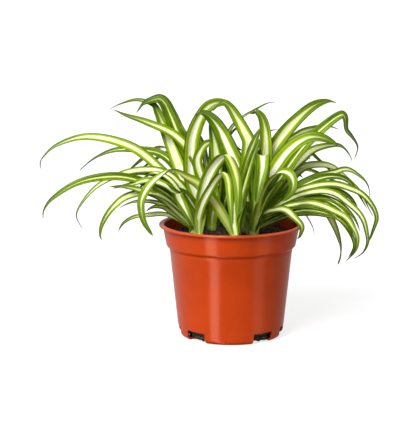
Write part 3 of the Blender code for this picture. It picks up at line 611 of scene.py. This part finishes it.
def root_material():
    """Golden tan and pale straw, with small brown patches."""
    nodes = Shader("pale_root")
    golden, straw, brown = (0.5, 0.28, 0.1), (0.78, 0.6, 0.36), (0.16, 0.08, 0.035)
    place = nodes.place()
    tint = nodes.noise(place, 120, 3)
    patches = nodes.noise(place, 1400)
    colour = nodes.mix(nodes.step(tint, 0.35, 0.65), golden, straw)
    colour = nodes.mix(nodes.step(patches, 0.6, 0.72, 0, 0.5), colour, brown)
    return nodes.finish(colour, nodes.step(patches, 0.3, 0.7, 0.6, 0.8),
                        Normal=nodes.bump(patches, 0.4, 0.15 * MM))


# Pot


def arc(centre, radius, start, end):
    """Points (radius, height) along an arc of the profile, from start to end degrees."""
    angles = [radians(start + (end - start) * step / ARC_STEPS) for step in range(ARC_STEPS + 1)]
    return [(centre[0] + radius * cos(angle), centre[1] + radius * sin(angle)) for angle in angles]


def turned_object(name, profile, steps):
    """A solid turned about the Z axis. The profile's outer side runs from top to bottom."""
    mesh = bpy.data.meshes.new(name)
    edges = [(i, i + 1) for i in range(len(profile) - 1)]
    mesh.from_pydata([(radius, 0, height) for radius, height in profile], edges, [])
    obj = add_object(name, mesh)
    screw = obj.modifiers.new("Turn", "SCREW")
    screw.steps = steps
    screw.render_steps = steps
    screw.use_merge_vertices = True
    screw.merge_threshold = MERGE
    return obj


def wall_inside(height):
    """Radius of the pot's inner wall at a height below the collar."""
    low, high = BASE_ROUNDING, POT_HEIGHT - COLLAR_HEIGHT
    share = (height - low) / (high - low)
    return BASE_RADIUS + (BODY_TOP_RADIUS - BASE_RADIUS) * share - POT_WALL


def collar_inside(height):
    """Radius of the collar's inner wall at a height above its rounding."""
    low = POT_HEIGHT - COLLAR_HEIGHT + COLLAR_ROUNDING
    high = POT_HEIGHT - LIP_FILLET
    share = (height - low) / (high - low)
    return COLLAR_LOW_RADIUS + (COLLAR_TOP_RADIUS - COLLAR_LOW_RADIUS) * share - POT_WALL


def pot_profile():
    """From the middle of the floor up the inside, over the lip and down the outside."""
    collar_low = POT_HEIGHT - COLLAR_HEIGHT
    collar_centre = (COLLAR_LOW_RADIUS - COLLAR_ROUNDING, collar_low + COLLAR_ROUNDING)
    corner_centre = (BASE_RADIUS - BASE_ROUNDING, BASE_ROUNDING)
    floor_rounding = BASE_ROUNDING - POT_WALL
    floor_centre = (BASE_RADIUS - BASE_ROUNDING, POT_FLOOR + floor_rounding)
    fillet_centre = (COLLAR_TOP_RADIUS - POT_WALL + LIP_FILLET, POT_HEIGHT - LIP_FILLET)
    lip_edge = LIP_RADIUS - LIP_ROUNDING
    lip_low = POT_HEIGHT - LIP_THICKNESS
    step_out = BODY_TOP_RADIUS - collar_centre[0]
    collar_in = COLLAR_ROUNDING - POT_WALL
    outside_meets = degrees(acos(step_out / COLLAR_ROUNDING))
    inside_meets = degrees(acos((step_out - POT_WALL) / collar_in))
    under_lip = (COLLAR_TOP_RADIUS + LIP_ROUNDING / 2, lip_low - LIP_ROUNDING / 2)
    shoulder = collar_low - SHOULDER_HEIGHT
    body = wall_inside(shoulder) + POT_WALL
    return [
        (0, POT_FLOOR),
        *arc(floor_centre, floor_rounding, -90, 0),
        *arc(collar_centre, collar_in, -inside_meets, 0),
        *arc(fillet_centre, LIP_FILLET, 180, 90),
        *arc((lip_edge, POT_HEIGHT - LIP_ROUNDING), LIP_ROUNDING, 90, 0),
        *arc((lip_edge, lip_low + LIP_ROUNDING), LIP_ROUNDING, 0, -90),
        *arc(under_lip, LIP_ROUNDING / 2, 90, 180),
        *arc(collar_centre, COLLAR_ROUNDING, 0, -outside_meets),
        (body + SHOULDER_STEP, shoulder), (body, shoulder - 2 * SHOULDER_STEP),
        *arc(corner_centre, BASE_ROUNDING, 0, -90),
        (FOOT_RADIUS, 0), (FOOT_RADIUS - FOOT_RECESS, FOOT_RECESS), (0, FOOT_RECESS),
    ]


def notch_angles():
    """The notches' headings in radians, from the front towards the right."""
    return [radians(offset + pair * 360 / NOTCH_PAIRS)
            for pair in range(NOTCH_PAIRS) for offset in NOTCH_ANGLES]


def make_pot():
    pot = turned_object("moulded_pot", pot_profile(), ROUND_STEPS)
    cutters = bpy.data.collections.new("notch_cutters")
    for angle in notch_angles():
        bpy.ops.mesh.primitive_cube_add(size=1)
        notch = bpy.context.active_object
        notch.dimensions = (NOTCH_WIDTH, NOTCH_DEPTH, 2 * NOTCH_HEIGHT)
        notch.location = (BASE_RADIUS * sin(angle), -BASE_RADIUS * cos(angle), 0)
        notch.rotation_euler = (0, 0, angle)
        bpy.context.collection.objects.unlink(notch)
        cutters.objects.link(notch)
    cut = pot.modifiers.new("Notches", "BOOLEAN")
    cut.operation = "DIFFERENCE"
    cut.operand_type = "COLLECTION"
    cut.collection = cutters
    pot = add_object("nursery_pot", evaluated_mesh(pot))
    for notch in list(cutters.objects):
        bpy.data.objects.remove(notch)
    bpy.data.collections.remove(cutters)
    pot.data.shade_smooth()
    pot.data.set_sharp_from_angle(angle=radians(POT_SHARP_ANGLE))
    dress(pot, [pot_material()], "pot_plastic", "pot")


# Soil


def soil_profile():
    """From the middle of the top out to the collar and down to the pot's floor."""
    side_gap = ROOT_THICKNESS + 3 * CLEARANCE
    ledge = POT_HEIGHT - COLLAR_HEIGHT + COLLAR_ROUNDING + SOIL_LEDGE
    edge_height = SOIL_TOP - SOIL_EDGE_DROP
    edge = collar_inside(edge_height) - CLEARANCE
    low_edge = collar_inside(ledge) - CLEARANCE
    profile = [(edge * SOIL_INNER_EDGE * share, SOIL_TOP) for share in shares(SOIL_RINGS + 1)]
    profile += [(edge, edge_height), (low_edge, ledge)]
    high, low = ROOT_TOP + ROOT_THICKNESS, BASE_ROUNDING + 2 * ROOT_THICKNESS
    for share in shares(SOIL_RINGS // 2 + 1):
        height = high + (low - high) * share
        profile.append((wall_inside(height) - side_gap, height))
    bottom = POT_FLOOR + CLEARANCE
    profile += [(BASE_RADIUS - BASE_ROUNDING - side_gap, bottom), (0, bottom)]
    return profile


def off_crowns(point):
    """How far a point is from the nearest crown's middle, seen from above."""
    return min((Vector(middle) - point.xy).length for middle in CROWNS.values())


def soil_rise(point):
    """How far the soil's top stands up or down at a point. It is lower beside a crown."""
    fade = (off_crowns(point) - SOIL_LEVEL_RADIUS) / SOIL_LUMP_SIZE
    fade = min(max(fade, SOIL_LEAST_LUMPS), 1)
    return fade * sum(height * noise.noise(point / size) for size, height in SOIL_LUMPS)


def make_soil(material):
    mesh = evaluated_mesh(turned_object("turned_soil", soil_profile(), SOIL_STEPS))
    dent_size, dent_depth = SOIL_SIDE_DENTS
    for vertex in mesh.vertices:
        if vertex.co.z > SOIL_TOP - MERGE:
            vertex.co.z += soil_rise(vertex.co)
        elif vertex.co.z > POT_FLOOR + MM:
            vertex.co.xy *= 1 - dent_depth * abs(noise.noise(vertex.co / dent_size))
    mesh.shade_smooth()
    dress(add_object("root_ball_soil", mesh), [material], "soil", "soil")


def scatter_spot(draw, margin):
    """A random spot on the soil's top, clear of the pot's wall and the stubs."""
    reach = collar_inside(SOIL_TOP) - margin
    while True:
        radius, turn = reach * sqrt(draw.random()), draw.uniform(0, tau)
        spot = Vector((radius * cos(turn), radius * sin(turn), SOIL_TOP))
        if off_crowns(spot) > STUB_RADIUS:
            return spot


def add_crumb(crumbs, draw, spot, size):
    """Add a dented ball of soil at a spot."""
    turn = Matrix.Rotation(draw.uniform(0, tau), 4, "Z")
    stretch = Matrix.Diagonal((draw.uniform(*CRUMB_LENGTH), 1, draw.uniform(*CRUMB_HEIGHT), 1))
    fineness = 2 if size > CRUMB_FINE_SIZE else 1
    ball = bmesh.ops.create_icosphere(crumbs, subdivisions=fineness, radius=size)["verts"]
    seed = Vector((draw.uniform(0, CRUMB_COUNT), 0, 0))
    for vertex in ball:
        vertex.co *= 1 + CRUMB_DENT_DEPTH * noise.noise(vertex.co / size * CRUMB_DENTS + seed)
    bmesh.ops.transform(crumbs, matrix=Matrix.Translation(spot) @ turn @ stretch, verts=ball)


def make_crumbs(material):
    """Loose crumbs on top of the root ball, and those packed in the notches."""
    draw = random.Random(CRUMB_SEED)
    crumbs = bmesh.new()
    smallest, largest = CRUMB_SIZE
    for _ in range(CRUMB_COUNT):
        size = smallest + (largest - smallest) * draw.random() ** CRUMB_SIZE_POWER
        spot = scatter_spot(draw, 2 * size)
        spot.z += soil_rise(spot) + size * draw.uniform(*CRUMB_LIFT)
        add_crumb(crumbs, draw, spot, size)
    nearest, farthest = NOTCH_CRUMB_REACH
    for angle in notch_angles():
        for _ in range(NOTCH_CRUMB_COUNT):
            size = draw.uniform(*NOTCH_CRUMB_SIZE)
            inward, aside = draw.uniform(nearest, farthest), draw.uniform(-0.5, 0.5)
            height = NOTCH_CRUMB_LIFT * size + draw.random() * NOTCH_CRUMB_RISE * inward / farthest
            spot = Vector((aside * (NOTCH_WIDTH - 3 * size), inward - BASE_RADIUS, height))
            add_crumb(crumbs, draw, Matrix.Rotation(angle, 3, "Z") @ spot, size)
    mesh = bpy.data.meshes.new("soil_crumbs")
    crumbs.to_mesh(mesh)
    crumbs.free()
    mesh.shade_smooth()
    dress(add_object("soil_crumbs", mesh), [material], "soil")


def add_strand(curve, points, radii):
    """Add a smooth strand along the points, with a radius at each."""
    strand = curve.splines.new("NURBS")
    strand.points.add(len(points) - 1)
    strand.use_endpoint_u = True
    strand.order_u = 3
    strand.resolution_u = 3
    for knot, point, radius in zip(strand.points, points, radii):
        knot.co = (*point, 1)
        knot.radius = radius


def strand_object(name, sides):
    curve = bpy.data.curves.new(name, "CURVE")
    curve.dimensions = "3D"
    curve.bevel_depth = 1
    curve.bevel_resolution = sides
    curve.use_fill_caps = True
    return add_object(name, curve)


def make_fibres():
    """Dry fibres on the soil, a few of them curling up out of it."""
    draw = random.Random(FIBRE_SEED)
    fibres = strand_object("soil_fibres", 1)
    reach = collar_inside(SOIL_TOP) - MM
    along = shares(FIBRE_POINTS)
    for number in range(FIBRE_COUNT):
        spot = scatter_spot(draw, FIBRE_WALL_MARGIN)
        heading = draw.uniform(0, tau)
        length, bow = draw.uniform(*FIBRE_LENGTH) * MM, draw.uniform(-1, 1)
        radius = draw.uniform(*FIBRE_RADIUS) * MM
        curled = number % FIBRE_CURLED_EVERY == 0
        lift = draw.uniform(*FIBRE_CURLED_LIFT) * MM if curled else FIBRE_LIFT
        points = []
        for share in along:
            turn = heading + bow * share * FIBRE_BEND
            point = spot + Vector((cos(turn), sin(turn), 0)) * length * (share - 0.5)
            if point.xy.length > reach:
                point.xy *= reach / point.xy.length
            point.z = SOIL_TOP + soil_rise(point) + lift * sin(pi * share) - FIBRE_SINK
            points.append(point)
        add_strand(fibres.data, points, [radius * (1 - 0.5 * abs(2 * share - 1)) for share in along])
    dress(fibres, [fibre_material()], "soil")


# Roots


def root_point(angle, height, thickness):
    """A point on the inside of the pot's wall, at an angle in degrees and a height."""
    radius = wall_inside(height) - CLEARANCE - thickness / 2
    turn = radians(angle)
    return (radius * cos(turn), radius * sin(turn), height)


def root_routes():
    """The roots as angles and heights: down the side, to a neighbour and round the bottom."""
    draw = random.Random(ROOT_SEED)
    spacing = 360 / ROOT_COUNT
    tracks = []
    for number in range(ROOT_COUNT):
        start = spacing * (number + draw.uniform(-ROOT_SCATTER, ROOT_SCATTER))
        swing, phase = draw.uniform(*ROOT_SWING), draw.uniform(0, tau)
        end = draw.uniform(ROOT_END, ROOT_RING_HEIGHT)
        tracks.append([(start + swing * sin(phase + tau * ROOT_WAVES * share),
                        ROOT_TOP + (end - ROOT_TOP) * share) for share in shares(ROOT_POINTS)])
    branches = []
    for number, track in enumerate(tracks):
        leave = draw.randint(1, ROOT_POINTS - 2 - BRANCH_DROP)
        neighbour = tracks[(number + 1) % ROOT_COUNT]
        start, end = track[leave], neighbour[leave + BRANCH_DROP]
        turn = end[0] - start[0] + (360 if number + 1 == ROOT_COUNT else 0)
        branches.append([(start[0] + turn * share,
                          start[1] + (end[1] - start[1]) * sin(share * pi / 2))
                         for share in shares(BRANCH_POINTS)])
    ring = []
    for step in range(ROOT_RING_POINTS):
        angle = 360 * step / ROOT_RING_POINTS
        wave = sin(radians(ROOT_RING_WAVES * angle))
        ring.append((angle, ROOT_RING_HEIGHT + ROOT_RING_SWING * wave))
    return tracks + branches + [ring + ring[:1]]


def make_roots():
    """The web of roots, with fine rootlets between the thick ones."""
    draw = random.Random(FINE_ROOT_SEED)
    roots = strand_object("root_web", 2)
    for route in root_routes():
        thickness = ROOT_THICKNESS * draw.uniform(*ROOT_THICKNESS_SHARE)
        radii = [thickness / 2 * (1 - ROOT_THINNING * i / len(route)) for i in range(len(route))]
        add_strand(roots.data, [root_point(*place, thickness) for place in route], radii)
    along = shares(FINE_ROOT_POINTS)
    for _ in range(FINE_ROOT_COUNT):
        angle, top = draw.uniform(0, 360), draw.uniform(FINE_ROOT_LOWEST_TOP, ROOT_TOP)
        thickness, slant = draw.uniform(*FINE_ROOT_THICKNESS) * MM, draw.uniform(*FINE_ROOT_SLANT)
        fall, phase = draw.uniform(*FINE_ROOT_FALL) * MM, draw.uniform(0, tau)
        points = []
        for share in along:
            swing = FINE_ROOT_SWING * sin(phase + FINE_ROOT_WAVES * share)
            height = max(top - fall * share, ROOT_END)
            points.append(root_point(angle + slant * share + swing, height, thickness))
        radii = [thickness / 2 * (1 - FINE_ROOT_THINNING * share) for share in along]
        add_strand(roots.data, points, radii)
    dress(roots, [root_material()], "roots", "roots")


# Leaves


def smooth_path(points):
    """Points on a smooth curve through the given ones, each with its share of the length."""
    last = len(points) - 1
    headings = [(points[min(i + 1, last)] - points[max(i - 1, 0)]).normalized()
                for i in range(len(points))]
    dense = [points[0]]
    for i in range(last):
        start, end = points[i], points[i + 1]
        arm = (end - start).length / 3
        dense += interpolate_bezier(start, start + headings[i] * arm,
                                    end - headings[i + 1] * arm, end, CURVE_STEPS)[1:]
    lengths, efforts, before = [0], [0], dense[1] - dense[0]
    for start, end in zip(dense, dense[1:]):
        step = end - start
        lengths.append(lengths[-1] + step.length)
        efforts.append(efforts[-1] + step.length + BEND_LENGTH * before.angle(step))
        before = step
    fewest, most = LEAF_SEGMENTS
    segments = min(max(round(efforts[-1] / LEAF_SEGMENT_LENGTH), fewest), most)
    path, place = [], 0
    for number in range(segments + 1):
        target = efforts[-1] * number / segments
        while place < len(dense) - 2 and efforts[place + 1] < target:
            place += 1
        share = min((target - efforts[place]) / (efforts[place + 1] - efforts[place]), 1)
        length = lengths[place] + (lengths[place + 1] - lengths[place]) * share
        path.append((dense[place].lerp(dense[place + 1], share), length / lengths[-1]))
    return path


def leaf_width(share):
    """Width along a leaf, as a share of its full width."""
    sheath = LEAF_BASE_WIDTH + (1 - LEAF_BASE_WIDTH) * share / LEAF_WIDEST
    return min(1, sheath) * min(1, (1 - share) / LEAF_TAPER) ** LEAF_TAPER_BEND


def blade_roll(roll, share, top):
    """The roll at a place on a leaf. It fades at the tip, or changes at the arch's top."""
    if not isinstance(roll, tuple):
        return roll * (1 - share ** ROLL_FADE)
    step = min(max((share - top) / TWIST_LENGTH + 0.5, 0), 1)
    return roll[0] + (roll[1] - roll[0]) * step


def leaf_frames(path, roll, number):
    """At each place on a leaf's path, the direction across the blade and its face's normal.

    The face looks to the crown at the base, up at the arch's top and outward where the tip
    hangs down. A positive roll turns it to the front."""
    heading = path[-1][0] - path[0][0]
    across = Vector((0, 0, 1)).cross(heading).normalized()
    side = 1 if across.y < 0 else -1
    top = max(path, key=lambda place: place[0].z)[1]
    swings, apart = LEAF_TWIST_NOISE
    frames = []
    for i, (_, share) in enumerate(path):
        ahead, behind = path[min(i + 1, len(path) - 1)][0], path[max(i - 1, 0)][0]
        tangent = (ahead - behind).normalized()
        flat = (across - tangent * across.dot(tangent)).normalized()
        face = tangent.cross(flat)
        twist = LEAF_TWIST * share * noise.noise(Vector((swings * share, apart * number, 0)))
        turn = radians(blade_roll(roll, share, top) * side + twist)
        frames.append((flat * cos(turn) - face * sin(turn),
                       face * cos(turn) + flat * sin(turn)))
    return frames


def blade_section(half, share):
    """A blade's section as (across, up): the upper side, then back along the under side."""
    sheath = max(1 - share / LEAF_SHEATH, 0) ** 2
    fold = radians(LEAF_FOLD + LEAF_SHEATH_FOLD * sheath)
    flank = half / cos(radians(LEAF_FOLD))
    upper, under = [], []
    for place in LEAF_ACROSS:
        off_rib = abs(place)
        rise = hypot(off_rib, LEAF_CREASE) - LEAF_CREASE
        up = flank * (rise * sin(fold) - LEAF_RECURVE * off_rib ** 4)
        thick = LEAF_THICKNESS * (1 - LEAF_EDGE_THINNING * off_rib)
        thick += LEAF_RIB * exp(-(off_rib / LEAF_RIB_WIDTH) ** 2)
        thick *= min(1, half / LEAF_THIN_BELOW) * (0 if off_rib == 1 else 1)
        across = flank * cos(fold) * place
        upper.append((across, up + thick / 2))
        under.append((across, up - thick / 2))
    return upper + under[-2:0:-1]


def add_stub(points, faces, x, y):
    """Add the ribbed stub at a crown's foot to the crown's points and faces.

    A point comes with its leaf coordinates and its look, and a face with its side."""
    low, high = SOIL_TOP - STUB_DEPTH, SOIL_TOP + STUB_HEIGHT
    for share in shares(STUB_RINGS + 1):
        radius = STUB_RADIUS + (STUB_TOP_RADIUS - STUB_RADIUS) * share
        for side in range(STUB_SIDES):
            turn = tau * side / STUB_SIDES
            rib = abs(sin(STUB_RIBS / 2 * turn + STUB_RIB_LEAN * share + x / MM))
            dent = 1 + (STUB_RIB_DEPTH * rib - STUB_RIB_DEPTH)
            place = Vector((cos(turn), sin(turn), 0)) * radius * dent
            point = Vector((x, y, low + (high - low) * share)) + place
            points.append((point, (0, 0, 0), LEAF_LOOKS["pale"]))
    top = STUB_RINGS * STUB_SIDES
    for here in range(0, top, STUB_SIDES):
        there = here + STUB_SIDES
        for side in range(STUB_SIDES):
            after = (side + 1) % STUB_SIDES
            faces.append(((here + side, here + after, there + after, there + side), SHEATH))
    faces.append((tuple(reversed(range(STUB_SIDES))), SHEATH))
    faces.append((tuple(range(top, top + STUB_SIDES)), SHEATH))


def add_blade(points, faces, path, width, roll, look, number):
    """Add a leaf: a ring of points at each place on its path, and its tip."""
    places = LEAF_ACROSS + LEAF_ACROSS[-2:0:-1]
    count = len(places)
    upper = len(LEAF_ACROSS) - 1
    sides = [UPPER] * upper + [UNDER] * (count - upper)
    waves, apart, layer = LEAF_WAVE_NOISE
    first = len(points)
    for (point, share), (across, face) in zip(path[:-1], leaf_frames(path, roll, number)):
        wave = 1 + LEAF_WAVE * noise.noise(Vector((waves * share, apart * number, layer)))
        half = width * leaf_width(share) * wave / 2
        for place, (out, up) in zip(places, blade_section(half, share)):
            points.append((point + across * out + face * up, (place, share, number), look))
    tip = len(points)
    points.append((path[-1][0], (0, 1, number), look))
    for here in range(first, tip, count):
        there = here + count
        for low, side in enumerate(sides):
            high = (low + 1) % count
            ahead = (there + low, there + high) if there < tip else (tip,)
            faces.append(((here + low, *ahead, here + high), side))
    faces.append((tuple(range(first, first + count)), UNDER))


def slide_back(point, depth):
    """Move a point along its line of sight from the front to the given depth."""
    share = (depth - FRONT_EYE.y) / (point.y - FRONT_EYE.y)
    return FRONT_EYE + (point - FRONT_EYE) * share


def leaf_base(crown, heading):
    """Where in its crown's stub a leaf with this heading starts."""
    x, y = CROWNS[crown]
    offset = heading.normalized() * LEAF_BASE_SPREAD
    return Vector((x + offset.x, y + offset.y, SOIL_TOP + LEAF_BASE_HEIGHT))


def front_leaf_points(crown, reach, shape):
    """The points of a leaf drawn from the front, its tip forward by its reach."""
    x, y = CROWNS[crown]
    flat = [Vector((across * MM, 0, SOIL_TOP + up * MM)) for across, up in shape]
    lengths = [(flat[0] - Vector((x, 0, SOIL_TOP))).length]
    for start, end in zip(flat, flat[1:]):
        lengths.append(lengths[-1] + (end - start).length)
    points = [slide_back(point, y - reach * MM * (length / lengths[-1]) ** REACH_BEND)
              for point, length in zip(flat, lengths)]
    tip = points[-1] - Vector((x, y, SOIL_TOP))
    return [leaf_base(crown, tip.xy)] + points


def rule_leaf_points(crown, heading, reach, rise, droop):
    """The points of a leaf that arches away from its crown along a heading."""
    direction = Vector((cos(heading), sin(heading)))
    base = leaf_base(crown, direction)
    *arch, (last, height) = RULE_LEAF_ARCH
    points = [base]
    for along, up in (*arch, (last, height - RULE_LEAF_SAG * droop), (1, 1 - droop)):
        step = direction * reach * along
        points.append(base + Vector((step.x, step.y, rise * up)))
    return points


def leaf_list():
    """Each crown's leaves as the points a leaf passes, its width, its roll and its look."""
    leaves = {crown: [] for crown in CROWNS}
    for crown, shapes in FRONT_LEAVES.items():
        for width, roll, reach, look, *shape in shapes:
            points = front_leaf_points(crown, reach, shape)
            leaves[crown].append((points, width * MM, roll, look))
    draw = random.Random(RULE_LEAF_SEED)
    for crown, count, (first, last), reaches, rises, droops in RULE_LEAVES:
        for number in range(count):
            share = (number + draw.uniform(*RULE_LEAF_SPREAD)) / count
            heading = radians(first + (last - first) * share)
            reach, rise = draw.uniform(*reaches) * MM, draw.uniform(*rises) * MM
            points = rule_leaf_points(crown, heading, reach, rise, draw.uniform(*droops))
            width, roll = draw.uniform(*RULE_LEAF_WIDTH) * MM, draw.uniform(*RULE_LEAF_ROLL)
            look = RULE_LEAF_LOOKS[number % len(RULE_LEAF_LOOKS)]
            leaves[crown].append((points, width, roll, look))
    return leaves


def make_crowns():
    draw = random.Random(LOOK_SEED)
    materials = [leaf_material("striped_leaf", False), leaf_material("leaf_underside", True),
                 sheath_material()]
    leaves = leaf_list()
    number = 0
    for name, (x, y) in CROWNS.items():
        points, faces = [], []
        add_stub(points, faces, x, y)
        for route, width, roll, look in leaves[name]:
            number += 1
            stripe, white, tone, dry = LEAF_LOOKS[look]
            look = (stripe * draw.uniform(*STRIPE_VARIES), white * draw.uniform(*WHITE_VARIES),
                    tone + draw.uniform(*GREEN_VARIES), dry)
            root = Vector((x, y, SOIL_TOP - LEAF_ROOT_DEPTH))
            spread = (route[0] - root) * Vector((1, 1, 0))
            root += spread.normalized() * LEAF_ROOT_SPREAD
            add_blade(points, faces, smooth_path([root] + route), width, roll, look, number)
        mesh = bpy.data.meshes.new(name)
        mesh.from_pydata([point for point, _, _ in points], [], [corners for corners, _ in faces])
        coords = mesh.attributes.new("leaf_coord", "FLOAT_VECTOR", "POINT")
        coords.data.foreach_set("vector", [value for _, coord, _ in points for value in coord])
        looks = mesh.attributes.new("leaf_look", "FLOAT_COLOR", "POINT")
        looks.data.foreach_set("color", [value for _, _, look in points for value in look])
        mesh.polygons.foreach_set("material_index", [side for _, side in faces])
        mesh.shade_smooth()
        mesh.set_sharp_from_angle(angle=radians(LEAF_SHARP_ANGLE))
        dress(add_object(name + "_leaves", mesh), materials, "leaves", name)


# Studio


def make_floor():
    """A white floor. It glows, so that shadows on it stay faint."""
    bpy.ops.mesh.primitive_plane_add(size=FLOOR_SIZE)
    floor = bpy.context.active_object
    floor.name = "studio_floor"
    nodes = Shader("pale_floor")
    cloud = nodes.noise(nodes.place(), 3)
    seen = nodes.add("LightPath", {}).outputs["Is Camera Ray"]
    nodes.feed(nodes.surface.inputs["Emission Strength"], nodes.step(seen, 0, 1, *FLOOR_GLOW))
    colour = nodes.mix(cloud, (0.33, 0.33, 0.33), (0.35, 0.35, 0.35))
    floor.data.materials.append(nodes.finish(colour, 0.6, Emission_Color=(1, 1, 1, 1)))
    floor.visible_glossy = False


def make_world():
    """White all round, dimmer on the right. Glossy surfaces also show bright panels."""
    world = bpy.data.worlds.new("studio")
    world.use_nodes = True
    nodes = Nodes(world.node_tree)
    direction = nodes.add("TexCoord", {}).outputs["Generated"]
    x, y, z = nodes.add("SeparateXYZ", {0: direction}).outputs
    heading = nodes.math("ARCTAN2", x, nodes.times(y, -1))
    rays = nodes.add("LightPath", {}).outputs
    panels = 0
    for start, end, blur, glow in STUDIO_PANELS:
        low, high, soft = radians(start), radians(end), radians(blur)
        panel = nodes.times(nodes.step(heading, low - soft, low + soft, 0, glow),
                            nodes.step(heading, high + soft, high - soft))
        panels = nodes.math("ADD", panels, panel)
    panels = nodes.times(panels, nodes.step(z, PANEL_TOP, 0))
    panels = nodes.times(panels, rays["Is Glossy Ray"])
    below = nodes.times(nodes.step(z, *DARK_BELOW, 1, 0), rays["Is Glossy Ray"])
    around = nodes.times(nodes.step(x, -1, 1, *WORLD_GLOW), nodes.math("SUBTRACT", 1, below))
    strength = nodes.math("ADD", around, panels)
    strength = nodes.math("MAXIMUM", strength, rays["Is Camera Ray"])
    background = nodes.tree.nodes["Background"]
    background.inputs["Color"].default_value = (1, 1, 1, 1)
    nodes.feed(background.inputs["Strength"], strength)
    bpy.context.scene.world = world


def make_sun():
    light = bpy.data.lights.new("sun", "SUN")
    light.energy = SUN_STRENGTH
    light.angle = radians(SUN_ANGLE)
    sun = add_object("sun", light)
    sun.rotation_euler = Vector(SUN_DIRECTION).to_track_quat("-Z", "Y").to_euler()


def make_camera():
    optics = bpy.data.cameras.new("camera")
    optics.lens = CAMERA_LENS
    optics.sensor_width = CAMERA_SENSOR
    optics.clip_start, optics.clip_end = CAMERA_CLIP
    camera = add_object("camera", optics)
    camera.location = FRONT_EYE
    camera.rotation_euler = (CAMERA_TARGET - FRONT_EYE).to_track_quat("-Z", "Y").to_euler()
    bpy.context.scene.camera = camera


def main():
    make_camera()
    make_world()
    make_sun()
    make_floor()
    make_pot()
    earth = soil_material()
    make_soil(earth)
    make_crumbs(earth)
    make_fibres()
    make_roots()
    make_crowns()
    bpy.context.scene.view_settings.view_transform = "Standard"


main()
